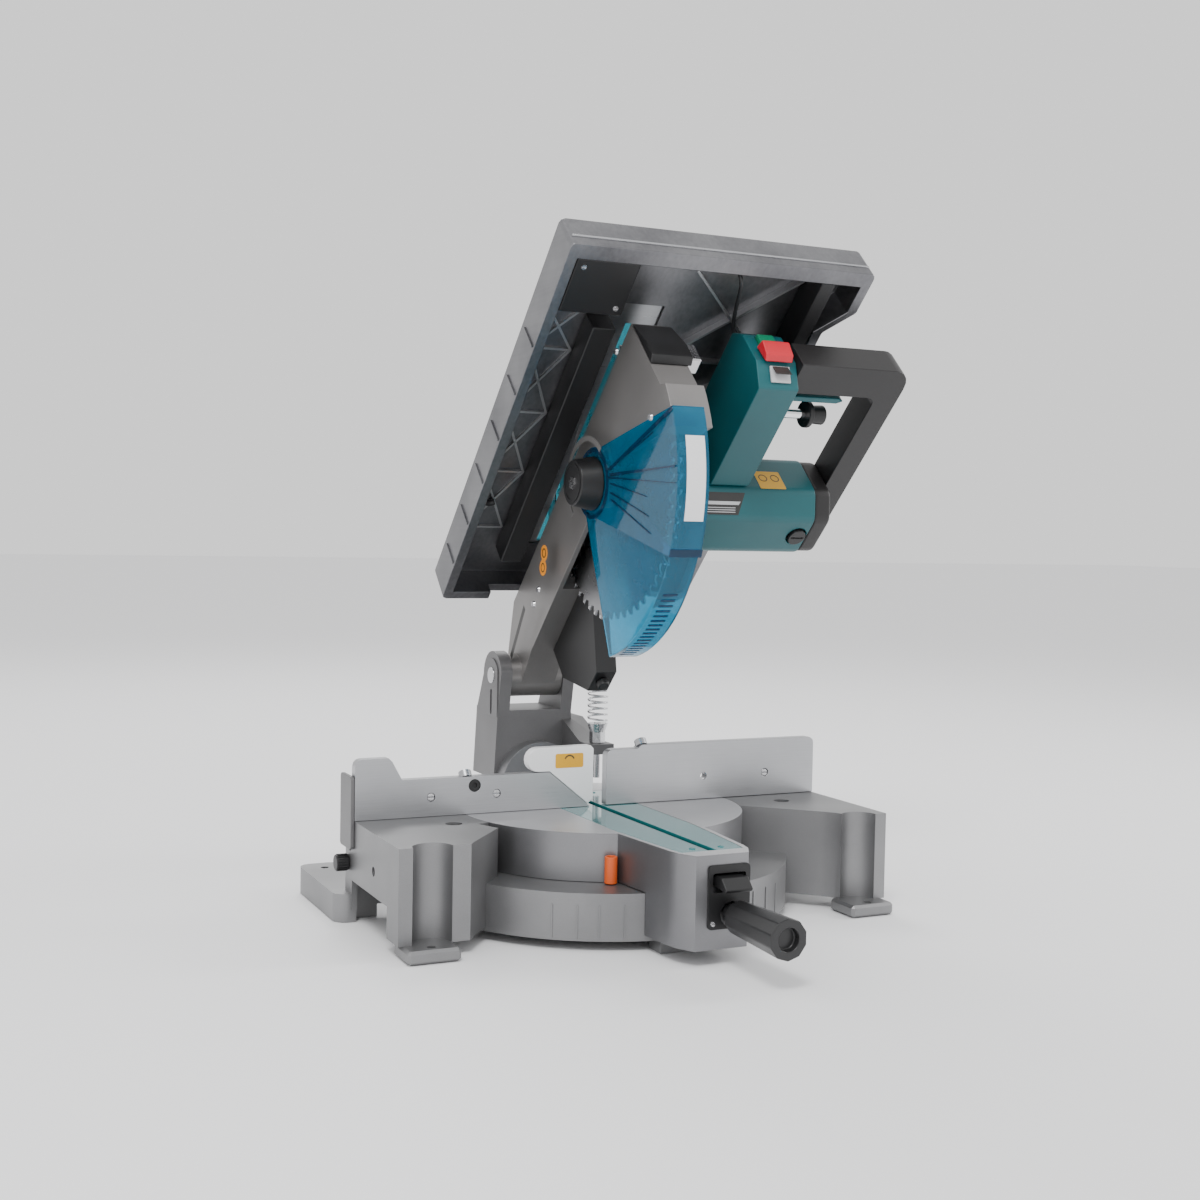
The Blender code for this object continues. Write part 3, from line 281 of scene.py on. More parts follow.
def copies_tree():
    """Geometry Nodes that set a part on every point of a guide, turned as the guide says."""
    tree = bpy.data.node_groups.new("copies of a part", "GeometryNodeTree")
    sockets = {}
    for label, kind in (("Guide", "Geometry"), ("Part", "Object"), ("Size", "Vector"),
                        ("Finish", "Material")):
        socket = tree.interface.new_socket(label, in_out="INPUT", socket_type=f"NodeSocket{kind}")
        sockets[label] = socket.identifier
    tree.interface.new_socket("Result", in_out="OUTPUT", socket_type="NodeSocketGeometry")
    enter, leave = tree.nodes.new("NodeGroupInput"), tree.nodes.new("NodeGroupOutput")
    part = tree.nodes.new("GeometryNodeObjectInfo")
    turn = tree.nodes.new("GeometryNodeInputNamedAttribute")
    turn.data_type = "FLOAT_VECTOR"
    turn.inputs["Name"].default_value = "turn"
    spin = tree.nodes.new("FunctionNodeEulerToRotation")
    each = tree.nodes.new("GeometryNodeInstanceOnPoints")
    real = tree.nodes.new("GeometryNodeRealizeInstances")
    paint = tree.nodes.new("GeometryNodeSetMaterial")
    tree.links.new(enter.outputs["Part"], part.inputs["Object"])
    tree.links.new(enter.outputs["Guide"], each.inputs["Points"])
    tree.links.new(part.outputs["Geometry"], each.inputs["Instance"])
    tree.links.new(turn.outputs["Attribute"], spin.inputs[0])
    tree.links.new(spin.outputs[0], each.inputs["Rotation"])
    tree.links.new(enter.outputs["Size"], each.inputs["Scale"])
    tree.links.new(each.outputs["Instances"], real.inputs["Geometry"])
    tree.links.new(real.outputs["Geometry"], paint.inputs["Geometry"])
    tree.links.new(enter.outputs["Finish"], paint.inputs["Material"])
    tree.links.new(paint.outputs["Geometry"], leave.inputs["Result"])
    return tree, sockets


COPIES, COPIES_IN = copies_tree()


def copies(name, part, spots, size, paint, body, slot):
    """One piece made of a part repeated at each (place, turn) spot."""
    guide = bpy.data.meshes.new(name)
    guide.from_pydata([tuple(at) for at, _ in spots], [], [])
    turns = guide.attributes.new("turn", "FLOAT_VECTOR", "POINT")
    turns.data.foreach_set("vector", np.array([tuple(turn) for _, turn in spots], np.float32).ravel())
    made = bpy.data.objects.new(name, guide)
    bpy.context.scene.collection.objects.link(made)
    nodes = made.modifiers.new("copies", "NODES")
    nodes.node_group = COPIES
    nodes[COPIES_IN["Part"]] = part
    nodes[COPIES_IN["Size"]] = size
    nodes[COPIES_IN["Finish"]] = paint
    plain(made)
    sharp(made)
    return settle(made, body, slot)


def unit_block(name, edge=0.08):
    """A one-metre block with rounded edges, kept out of the scene for copies."""
    part = block(name, (-0.5, -0.5, -0.5), (0.5, 0.5, 0.5), edge, 1)
    bpy.context.scene.collection.objects.unlink(part)
    return part


BAR = unit_block("bar for copies")
cast = finish("bead-blasted cast aluminium", CAST_LIGHT, CAST_DARK, (0.36, 0.52), 0.85, 1400.0,
              relief=0.00004)
wing_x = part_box("left_fence")[0].x
tools = [cylinder(f"top hole {x}", (x, y, WING_TOP - 0.0012), (x, y, WING_TOP + 0.01), TOP_HOLE_R) for x,
         y in TOP_HOLES]
tools += [cylinder(f"side hole {y}", (wing_x - 0.01, y, z), (wing_x + 0.0045, y, z), r, sides=24) for y,
          z, r in SIDE_HOLES]
dressed("base_casting", CAST_EDGE, cast, tools=tools)

deck_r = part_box("turntable")[1].x + 0.050
spots = []
for degrees in RIB_TURNS:
    a = math.radians(degrees)
    spots.append(((deck_r * math.cos(a), deck_r * math.sin(a), RIB_BASE + RIB_SIZE[2] / 2), (0.0, 0.0, a)))
copies("deck_ribs", BAR, spots, RIB_SIZE, cast, "base", "cast_silver")


# Fences.
# Two extruded aluminium rails with milled faces, screwed to the wings, and a painted piece beside
# the blade that swings away. Their screws are sunk in counterbores.

MILLED_LIGHT, MILLED_DARK = (0.50, 0.505, 0.52), (0.38, 0.385, 0.40)
FENCE_EDGE = 0.0006
LABEL_T = 0.0002
FENCE_LABEL = ((-0.055, -0.021), (0.045, 0.061))
FENCE_LABEL_CORNER = 0.002
FENCE_MARK_R = (0.0065, 0.0050)
PIVOT_CAPS = (("fence_pivot_cap", -0.158, 0.038), ("right_pivot_cap", 0.055, 0.064))
CAP_R = 0.007
CAP_RISE = 0.006
CAP_Y = (0.0065, 0.011)

milled = finish("milled aluminium", MILLED_LIGHT, MILLED_DARK, (0.22, 0.42), 0.92, 800.0, (0.03, 1, 1),
                0.00003, 5.0)
enamel = finish("white enamel", (0.84, 0.84, 0.85), (0.78, 0.78, 0.79), (0.25, 0.35), 0.1, 300.0,
                relief=0.00001)
grey_paint = finish("grey machine paint", (0.17, 0.168, 0.172), (0.12, 0.118, 0.12), (0.34, 0.48), 0.45,
                    1200.0)
bright = finish("bright steel", (0.68, 0.68, 0.69), (0.52, 0.52, 0.54), (0.16, 0.34), 1.0, 500.0,
                relief=0.00001)
black = finish("black moulded plastic", (0.010, 0.010, 0.011), (0.005, 0.005, 0.0055), (0.34, 0.50), 0.0,
               1500.0)
yellow = finish("yellow label film", (0.74, 0.40, 0.008), (0.66, 0.33, 0.006), (0.30, 0.42), 0.0, 300.0,
                relief=0.000005)
ink = finish("black print", (0.03, 0.028, 0.026), (0.02, 0.02, 0.02), (0.35, 0.5), 0.0, 300.0,
             relief=0.000005)
for node in ("left_fence", "right_fence"):
    dressed(node, FENCE_EDGE, milled)
dressed("left_sub_fence", FENCE_EDGE * 2, enamel)
dressed("fence_end_plate", FENCE_EDGE, grey_paint)
dressed("fence_socket_bolt", 0.0004, black)
for node in ("fence_screw_a", "fence_screw_b", "fence_screw_c"):
    low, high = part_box(node)
    middle = (low + high) / 2
    slot_cut = block("slot", (low.x - 0.001, low.y - 0.001, middle.z - 0.0005),
                     (high.x + 0.001, low.y + 0.0012, middle.z + 0.0005))
    dressed(node, 0.0005, bright, tools=[slot_cut])

AXES = {
    "X": Matrix(((0, 0, 1), (1, 0, 0), (0, 1, 0))),
    "Y": Matrix(((1, 0, 0), (0, 0, -1), (0, 1, 0))),
    "Z": Matrix.Identity(3),
}


def arc(centre, radius, start, end, steps):
    """Points on an arc, angles in degrees."""
    turns = np.radians(np.linspace(start, end, steps + 1))
    return [(centre[0] + radius * math.cos(t), centre[1] + radius * math.sin(t)) for t in turns]


def disc(centre, radius, steps=23):
    """A whole circle."""
    return arc(centre, radius, 0, 345, steps)


def oblong(low, high, corner, steps=4):
    """A rectangle with round corners."""
    corners = ((high[0], high[1], 0), (low[0], high[1], 90), (low[0], low[1], 180), (high[0], low[1], 270))
    points = []
    for x, y, turn in corners:
        inward_x = math.copysign(corner, x - (low[0] + high[0]) / 2)
        inward_y = math.copysign(corner, y - (low[1] + high[1]) / 2)
        middle = (x - inward_x, y - inward_y)
        points += arc(middle, corner, turn, turn + 90, steps)
    return points


def plate(name, axis, loops, low, high, edge=0.0):
    """A flat outline, with any holes after it, extruded along an axis, as a mesh."""
    curve = bpy.data.curves.new(name, "CURVE")
    curve.dimensions = "2D"
    curve.fill_mode = "BOTH"
    curve.extrude = (high - low) / 2
    for loop in loops:
        spline = curve.splines.new("POLY")
        spline.points.add(len(loop) - 1)
        for point, (u, v) in zip(spline.points, loop):
            point.co = (u, v, 0.0, 1.0)
        spline.use_cyclic_u = True
    drawn = bpy.data.objects.new(name, curve)
    middle = (low + high) / 2 * (-1 if axis == "Y" else 1)
    drawn.matrix_world = AXES[axis].to_4x4() @ Matrix.Translation((0, 0, middle))
    bpy.context.scene.collection.objects.link(drawn)
    bpy.context.view_layer.update()
    mesh = bpy.data.meshes.new_from_object(drawn.evaluated_get(bpy.context.evaluated_depsgraph_get()))
    mesh.transform(drawn.matrix_world)
    bpy.data.objects.remove(drawn, do_unlink=True)
    shape = bmesh.new()
    shape.from_mesh(mesh)
    bmesh.ops.remove_doubles(shape, verts=shape.verts, dist=0.000005)
    bmesh.ops.recalc_face_normals(shape, faces=shape.faces)
    bmesh.ops.dissolve_limit(shape, angle_limit=0.01, verts=shape.verts, edges=shape.edges)
    mesh.materials.clear()
    made = add(name, shape)
    return round_edges(made, edge) if edge else sharp(made)


sub_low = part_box("left_sub_fence")[0]
table_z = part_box("kerf_plate_left")[1].z
z = table_z
label_low = (FENCE_LABEL[0][0], z + FENCE_LABEL[1][0])
label_high = (FENCE_LABEL[0][1], z + FENCE_LABEL[1][1])
label_loop = oblong(label_low, label_high, FENCE_LABEL_CORNER)
label = plate("fence_label", "Y", [label_loop], sub_low.y - LABEL_T, sub_low.y)
settle(label, "sub_fence", "orange", yellow)
middle = (sum(FENCE_LABEL[0]) / 2, z + sum(FENCE_LABEL[1]) / 2)
mark = arc(middle, FENCE_MARK_R[0], 20, 160, 8) + arc(middle, FENCE_MARK_R[1], 160, 20, 8)
settle(plate("fence_label_mark", "Y", [mark], sub_low.y - 2 * LABEL_T, sub_low.y - LABEL_T), "sub_fence",
       "black_plastic", ink)
left_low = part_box("left_fence")[0]
for name, x, rise in PIVOT_CAPS:
    start, end = (x, CAP_Y[0], left_low.z + rise), (x, CAP_Y[1], left_low.z + rise + CAP_RISE)
    settle(cylinder(name, start, end, CAP_R), "base", "cast_silver", milled)


# Turntable, its arm and the peg.
# A cast plate turned smooth on top, with its side walls left as cast, and an orange peg stands by
# the wall.

TOP_FACE = 0.999
TURN_MARKS = 420.0


def two_faced(obj, test):
    """The second finish on the faces that pass the test."""
    for face in obj.data.polygons:
        face.material_index = int(test(face))
    return obj


def ringed(made, count, depth):
    """Turning marks round the upright axis, added to a finish."""
    tree = made.node_tree
    rings = tree.nodes.new("ShaderNodeTexWave")
    rings.wave_type = "RINGS"
    rings.rings_direction = "Z"
    rings.inputs["Scale"].default_value = count
    rings.inputs["Distortion"].default_value = 0.4
    place = next(n for n in tree.nodes if n.bl_idname == "ShaderNodeTexCoord")
    tree.links.new(place.outputs["Object"], rings.inputs["Vector"])
    bump = tree.nodes.new("ShaderNodeBump")
    bump.inputs["Distance"].default_value = depth
    tree.links.new(rings.outputs["Fac"], bump.inputs["Height"])
    old = next(n for n in tree.nodes if n.bl_idname == "ShaderNodeBump" and n != bump)
    tree.links.new(old.outputs["Normal"], bump.inputs["Normal"])
    tree.links.new(bump.outputs["Normal"], tree.nodes["Principled BSDF"].inputs["Normal"])
    return made


turned = ringed(finish("turned aluminium", (0.68, 0.68, 0.69), (0.56, 0.56, 0.58), (0.25, 0.40), 0.9),
                TURN_MARKS, 0.00001)
wall_cast = finish("cast wall", (0.29, 0.29, 0.30), (0.21, 0.21, 0.22), (0.34, 0.46), 0.9, 1400.0)
table = dressed("turntable", 0.0009, wall_cast, turned)
two_faced(table, lambda face: face.normal.z > TOP_FACE and face.center.z > table_z - 0.0005)
orange = finish("orange moulded plastic", (0.80, 0.13, 0.02), (0.62, 0.085, 0.012), (0.35, 0.5), 0.0, 900.0)
peg_low, peg_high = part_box("orange_peg")
at = (peg_low + peg_high) / 2
peg_bore = cylinder("bore", (at.x, at.y, peg_high.z - 0.010), (at.x, at.y, peg_high.z + 0.001), 0.0042,
                    sides=24)
dressed("orange_peg", 0.0007, orange, tools=[peg_bore])


# Kerf plates.
# Two glossy teal plates of hard plastic let into the turntable beside the blade's slot, held by
# screws at their ends.

KERF_SCREWS = ((-0.016, -0.246), (0.016, -0.246), (-0.030, 0.082), (0.030, 0.082))

kerf_teal = finish("teal kerf plate", (0.012, 0.21, 0.22), (0.008, 0.165, 0.175), (0.10, 0.18), 0.0,
                   250.0, (1, 0.05, 1), 0.000008)
kerf_teal.node_tree.nodes["Principled BSDF"].inputs["Coat Weight"].default_value = 1.0
kerf_teal.node_tree.nodes["Principled BSDF"].inputs["Coat Roughness"].default_value = 0.04
for node in ("kerf_plate_left", "kerf_plate_right"):
    dressed(node, 0.0005, kerf_teal)
shape = bmesh.new()
bmesh.ops.create_cone(shape, cap_ends=True, segments=20, radius1=0.5, radius2=0.38, depth=1.0)
screw_head = sharp(add("screw head", shape))
cut(screw_head, block("socket", (-0.55, -0.09, 0.1), (0.55, 0.09, 0.6)))
bpy.context.scene.collection.objects.unlink(screw_head)
spots = [((x, y, table_z + 0.0001), (0, 0, x * 40)) for x, y in KERF_SCREWS]
dark_teal = finish("dark teal screw", (0.02, 0.20, 0.21), (0.01, 0.14, 0.15), (0.2, 0.3), 0.2, 400.0)
copies("kerf_screws", screw_head, spots, (0.0078, 0.0078, 0.0012), dark_teal, "turning_table", "teal")


# Mitre grip and detent lever.
# A faceted grip of soft black plastic with a ringed end locks the table; the lever above it frees
# the click stops. A pressed bracket on the arm's front guides both.

GRIP_EDGE = 0.0016
BRACKET = ((-0.016, 0.030), (0.036, 0.0985))
BRACKET_T = 0.0022

rubber = finish("soft black grip", (0.020, 0.020, 0.021), (0.012, 0.012, 0.013), (0.22, 0.40), 0.0,
                1800.0, relief=0.00005)
dressed("mitre_lock_grip", GRIP_EDGE, rubber, segments=3, angle=25.0)
dressed("detent_lever", 0.0012, black)
front_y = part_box("mitre_lock_grip")[1].y
grip_low, grip_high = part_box("mitre_lock_grip")
grip_at = ((grip_low.x + grip_high.x) / 2, (grip_low.z + grip_high.z) / 2)
(x0, x1), (z0, z1) = BRACKET
outer = oblong((x0, z0), (x1, z1), 0.004)
opening = oblong((x0 + 0.005, z0 + 0.036), (x1 - 0.005, z1 - 0.008), 0.002)
root = arc(grip_at, 0.0125, 0, 330, 11)
bracket = plate("lever_bracket", "Y", [outer, opening, root], front_y - BRACKET_T + 0.0003,
                front_y + 0.0003, 0.0004)
settle(bracket, "turning_table", "black_plastic", black)
screw_y, screw_z = front_y - BRACKET_T + 0.0001, z0 + 0.006
spots = [((x, screw_y, screw_z), (math.pi / 2, 0, 0)) for x in (x0 + 0.005, x1 - 0.005)]
copies("bracket_screws", screw_head, spots, (0.006, 0.006, 0.0022), bright, "turning_table", "steel")


# Side clamp screw.
# A knurled black knob on the left wing that clamps a support rod.

KNURLS = 20
KNURL_SIZE = (0.011, 0.0013, 0.0012)

knob_low, knob_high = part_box("side_clamp_screw")
knob_at = (knob_low + knob_high) / 2
knob_r = (knob_high.z - knob_low.z) / 2
dressed("side_clamp_screw", 0.0010, black)
spots = []
for k in range(KNURLS):
    a = 2 * math.pi * k / KNURLS
    spots.append(((knob_at.x, knob_at.y + knob_r * math.cos(a), knob_at.z + knob_r * math.sin(a)), (a, 0, 0)))
copies("clamp_knurls", BAR, spots, KNURL_SIZE, black, "side_screw", "black_plastic")


# Tilt arm, stop bolt and spring.
# The upright is cast and painted grey. Its shelf holds the depth stop: a steel bolt with a hexagon,
# a cone and a coil spring of round wire that meets the head's rubber stop.

SPRING_TURNS = 5.0
WIRE_R = 0.00125

dressed("tilt_arm", 0.0016, grey_paint)
dressed("depth_stop_bolt", 0.0004, bright)
dressed("chop_pivot_pin", 0.0010, bright)
dressed("bevel_lock_lever", 0.0014, black)


def spring_tree():
    """Geometry Nodes that wind a wire round an upright axis."""
    tree = bpy.data.node_groups.new("coil spring", "GeometryNodeTree")
    sockets = {}
    for label, kind in (("Turns", "Float"), ("Radius", "Float"), ("Height", "Float"), ("Wire", "Float"),
                        ("Finish", "Material")):
        socket = tree.interface.new_socket(label, in_out="INPUT", socket_type=f"NodeSocket{kind}")
        sockets[label] = socket.identifier
    tree.interface.new_socket("Result", in_out="OUTPUT", socket_type="NodeSocketGeometry")
    enter, leave = tree.nodes.new("NodeGroupInput"), tree.nodes.new("NodeGroupOutput")
    coil = tree.nodes.new("GeometryNodeCurveSpiral")
    coil.inputs["Resolution"].default_value = 24
    wire = tree.nodes.new("GeometryNodeCurvePrimitiveCircle")
    wire.inputs["Resolution"].default_value = 10
    skin = tree.nodes.new("GeometryNodeCurveToMesh")
    skin.inputs["Fill Caps"].default_value = True
    real = tree.nodes.new("GeometryNodeRealizeInstances")
    paint = tree.nodes.new("GeometryNodeSetMaterial")
    tree.links.new(enter.outputs["Turns"], coil.inputs["Rotations"])
    tree.links.new(enter.outputs["Radius"], coil.inputs["Start Radius"])
    tree.links.new(enter.outputs["Radius"], coil.inputs["End Radius"])
    tree.links.new(enter.outputs["Height"], coil.inputs["Height"])
    tree.links.new(enter.outputs["Wire"], wire.inputs["Radius"])
    tree.links.new(coil.outputs["Curve"], skin.inputs["Curve"])
    tree.links.new(wire.outputs["Curve"], skin.inputs["Profile Curve"])
    tree.links.new(skin.outputs["Mesh"], real.inputs["Geometry"])
    tree.links.new(real.outputs["Geometry"], paint.inputs["Geometry"])
    tree.links.new(enter.outputs["Finish"], paint.inputs["Material"])
    tree.links.new(paint.outputs["Geometry"], leave.inputs["Result"])
    return tree, sockets


low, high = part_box("buffer_spring")
tree, wound = spring_tree()
spring = bpy.data.objects.new("coil_spring", bpy.data.meshes.new("coil_spring"))
bpy.context.scene.collection.objects.link(spring)
nodes = spring.modifiers.new("coil", "NODES")
nodes.node_group = tree
values = {"Turns": SPRING_TURNS, "Radius": (high.x - low.x) / 2 - WIRE_R,
          "Height": high.z - low.z - 2 * WIRE_R,
          "Wire": WIRE_R, "Finish": bright}
for label, value in values.items():
    nodes[wound[label]] = value
plain(spring)
spring.data.transform(Matrix.Translation(((low.x + high.x) / 2, (low.y + high.y) / 2, low.z + WIRE_R)))
settle(sharp(spring, 60), "upright", "steel", bright, stands_for=("buffer_spring",))

pin_low, pin_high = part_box("chop_pivot_pin")
pin = (pin_low + pin_high) / 2
cheek_x = pin_low.x + 0.003
square = block("cheek_boss", (cheek_x - 0.0012, pin.y - 0.012, pin.z - 0.090),
               (cheek_x + 0.001, pin.y + 0.010, pin.z - 0.070), 0.0006)
settle(square, "upright", "black_plastic", black)
lobes = arc((pin.y, pin.z), 0.021, 20, 160, 12)
lobes += [(pin.y - 0.0197, pin.z - 0.050), (pin.y + 0.0197, pin.z - 0.050)]
groove = [*arc((pin.y, pin.z - 0.020), 0.0030, 0, 180, 6), *arc((pin.y, pin.z - 0.045), 0.0030, 180, 360, 6)]
rim = plate("cheek_plate", "X", [lobes, groove], cheek_x - 0.0016, cheek_x, 0.0006)
settle(rim, "upright", "grey_paint", grey_paint)


# Head: case, bracket, nose, catch and gear housing.
# The case is a painted aluminium shell over the blade, with a raised ring round the spindle and a
# web of thin ribs. Black plastic pieces close its front and its underside.

SPINDLE_RING = (0.052, 0.046)
CASE_LABEL_R = 0.0095
CASE_MARK_R = (0.0055, 0.0042)
CASE_LABELS = ((0.018, 0.262), (0.032, 0.252))
CASE_SCREWS = ((0.060, 0.243), (0.082, 0.240), (-0.262, 0.286), (-0.268, 0.176))
CASE_EDGE = 0.0030

chop = next(j for j in frame["joints"] if j["name"] == "chop")
HINGE = Vector(chop["pos_m"])
LIFT = Matrix.Rotation(-math.radians(chop["range_deg"][1]), 4, "X")
RAISE = Matrix.Translation(HINGE) @ LIFT @ Matrix.Translation(-HINGE)


def level(node):
    """A head piece's corners with the head lowered, when its table lies level."""
    lower = RAISE.inverted()
    points = [lower @ v.co for v in frame["nodes"][node].data.vertices]
    return Vector(map(min, zip(*points))), Vector(map(max, zip(*points)))


def raised(obj, body, slot, *finishes, stands_for=()):
    """A piece shaped on the lowered head, lifted to rest and set on its body."""
    obj.data.transform(RAISE)
    return settle(obj, body, slot, *finishes, stands_for=stands_for)


case_paint = finish("warm grey case paint", (0.25, 0.24, 0.235), (0.19, 0.183, 0.18), (0.30, 0.42), 0.5,
                    1300.0)
dressed("blade_case", CASE_EDGE, case_paint, segments=3)
for node in ("head_bracket", "bump_stop", "case_nose", "gear_housing"):
    dressed(node, 0.0016, black)
dressed("case_catch", 0.0014, bright)
case_low, case_high = level("blade_case")
blade_low, blade_high = level("saw_blade")
axis = ((blade_low.y + blade_high.y) / 2, (blade_low.z + blade_high.z) / 2)
left = case_low.x
ring_loop = arc(axis, SPINDLE_RING[0], 0, 180, 24) + arc(axis, SPINDLE_RING[1], 180, 0, 24)
boss = plate("case_ring", "X", [ring_loop], left - 0.0004, left + 0.0004)
raised(boss, "head", "grey_paint", case_paint)
rib = [(axis[0] + 0.020, axis[1] + 0.050), (axis[0] + 0.023, axis[1] + 0.050),
       (axis[0] - 0.028, case_high.z - 0.010), (axis[0] - 0.032, case_high.z - 0.010)]
raised(plate("case_rib", "X", [rib], left - 0.0004, left + 0.0004), "head", "grey_paint", case_paint)
orange_film = finish("orange label film", (0.85, 0.30, 0.02), (0.78, 0.25, 0.015), (0.3, 0.42), 0.0,
                     300.0, relief=0.000005)
for name, centre in zip(("case_label_front", "case_label_back"), CASE_LABELS):
    sheet = plate(name, "X", [disc(centre, CASE_LABEL_R)], left - LABEL_T - 0.0001 * (name[-1] == "k"), left)
    raised(sheet, "head", "orange", orange_film)
    ring_mark = plate(f"{name}_ring", "X", [disc(centre, CASE_MARK_R[0]), disc(centre, CASE_MARK_R[1])],
                      left - 2.5 * LABEL_T, left - LABEL_T)
    raised(ring_mark, "head", "black_plastic", ink)
arm_stripe = [(0.105, 0.252), (0.178, 0.236), (0.178, 0.243), (0.105, 0.259)]
raised(plate("case_stripe", "X", [arm_stripe], left - LABEL_T, left), "head", "black_plastic", ink)
spots = []
for y, z in CASE_SCREWS:
    spots.append((tuple(RAISE @ Vector((left - 0.0003, y, z))), (0.0, -math.pi / 2, 0.0)))
copies("case_screws", screw_head, spots, (0.0080, 0.0080, 0.0022), bright, "head", "steel")


# Saw blade, flanges and bolt.
# A disc of brushed steel with hardened tips, clamped between two flanges on the spindle.

TEETH = 60
TIP_SIZE = (0.0030, 0.0052, 0.0022)

blade_steel = finish("brushed blade steel", (0.36, 0.36, 0.37), (0.30, 0.30, 0.31), (0.24, 0.32), 1.0,
                     60.0, (1, 1, 1), 0.000002)
dressed("saw_blade", 0.0002, blade_steel, segments=1)
for node in ("spindle", "outer_flange", "arbor_bolt"):
    dressed(node, 0.0006, bright)
blade_r = (blade_high.z - blade_low.z) / 2
spots = []
for k in range(TEETH):
    a = 2 * math.pi * (k + 0.14) / TEETH
    at = RAISE @ Vector((0.0, axis[0] + (blade_r - 0.0032) * math.cos(a),
                         axis[1] + (blade_r - 0.0032) * math.sin(a)))
    spots.append((tuple(at), (a - math.radians(45), 0.0, 0.0)))
copies("blade_tips", BAR, spots, TIP_SIZE, bright, "blade", "steel")


# Lower guard.
# Two nesting leaves of clear blue polycarbonate turn on a black hub. Ribs stiffen their cheeks,
# the upper rim carries a white strip, and the lower rim has a ladder of slots. The ribs, the top
# edge, the collar, the seam and the slots are a darker copy of the blue plastic, as painted shade;
# the slots are dark bars laid on the rim.

GUARD_BLUE = (0.02, 0.33, 0.55, 1.0)
LEAF_R = 0.196
LADDER = 17
LADDER_TURNS = (262.0, 36.0)
RUNG_SIZE = (0.0165, 0.0007, 0.0030)
STRIPS = (
    ((205, 0.040), (206, 0.150), 0.0022),
    ((214, 0.044), (221, 0.192), 0.0036),
    ((216, 0.036), (226, 0.192), 0.0016),
    ((226, 0.045), (232, 0.130), 0.0016),
    ((238, 0.046), (240, 0.140), 0.0016),
    ((246, 0.050), (246, 0.150), 0.0018),
)


def clear_plastic(name, colour, rough=0.06):
    """Tinted clear plastic with faint flow marks."""
    made = finish(name, colour[:3], tuple(c * 0.8 for c in colour[:3]), (rough, rough + 0.05), 0.0, 60.0,
                  relief=0.00001, patch=6.0)
    shader = made.node_tree.nodes["Principled BSDF"]
    made.node_tree.links.remove(shader.inputs["Normal"].links[0])
    shader.inputs["Transmission Weight"].default_value = 0.80
    shader.inputs["IOR"].default_value = 1.08
    shader.inputs["Coat Weight"].default_value = 0.6
    shader.inputs["Coat Roughness"].default_value = 0.03
    return made


guard_blue = clear_plastic("clear blue polycarbonate", GUARD_BLUE)
# A darker copy of the guard's blue plastic, painted shade for its ribs, edges and slots.
shaded_blue_plastic = clear_plastic("blue polycarbonate, painted shade", (0.01, 0.11, 0.24, 1.0))
for node, body in (("guard_upper_leaf", "upper_leaf"), ("guard_lower_leaf", "lower_leaf")):
    settle(sharp(merged(node), 30.0), body, "clear_blue", guard_blue, stands_for=(node,))
dressed("guard_hub", 0.0014, black)
upper_low, upper_high = level("guard_upper_leaf")
cheek = upper_low.x


def rib_strip(name, start, end, thick, outer_x, deep):
    """A thin straight rib on a leaf's cheek between two (turn, radius) points."""
    ends = [Vector((axis[0] + r * math.cos(math.radians(t)),
                    axis[1] + r * math.sin(math.radians(t)))) for t, r in (start, end)]
    side = (ends[1] - ends[0]).orthogonal().normalized() * thick / 2
    loop = [tuple(ends[0] + side), tuple(ends[1] + side * 0.4), tuple(ends[1] - side * 0.4),
            tuple(ends[0] - side)]
    return plate(name, "X", [loop], outer_x - deep, outer_x + 0.0002)


# Cheek ribs, top edge, collar and seam in the darker blue, which is painted shade.
for number, (start, end, thick) in enumerate(STRIPS):
    raised(rib_strip(f"leaf_rib_{number}", start, end, thick, cheek, 0.0012), "upper_leaf", "clear_blue",
           shaded_blue_plastic)
hem_loop = arc(axis, LEAF_R - 0.001, 203.2, 204.4, 1) + arc(axis, 0.045, 208, 204, 1)
hem = plate("leaf_top_edge", "X", [hem_loop], cheek - 0.0012, cheek + 0.0002)
raised(hem, "upper_leaf", "clear_blue", shaded_blue_plastic)
collar = plate("leaf_collar", "X", [arc(axis, 0.039, 0, 350, 35), arc(axis, 0.0345, 0, 350, 35)],
               cheek - 0.0010, cheek + 0.0002)
raised(collar, "upper_leaf", "clear_blue", shaded_blue_plastic)
rim_x = (upper_low.x + 0.006, upper_high.x - 0.004)
label_loop = arc(axis, LEAF_R + 0.0003, 212, 237, 12) + arc(axis, LEAF_R + 0.00002, 237, 212, 12)
raised(plate("rim_label", "X", [label_loop], rim_x[0] + 0.004, rim_x[1]), "upper_leaf", "white", enamel)
seam = arc(axis, LEAF_R + 0.0006, 245.6, 248.0, 3) + arc(axis, LEAF_R - 0.0001, 248.0, 245.6, 3)
raised(plate("rim_seam", "X", [seam], upper_low.x, upper_high.x + 0.0010), "upper_leaf", "clear_blue",
       shaded_blue_plastic)
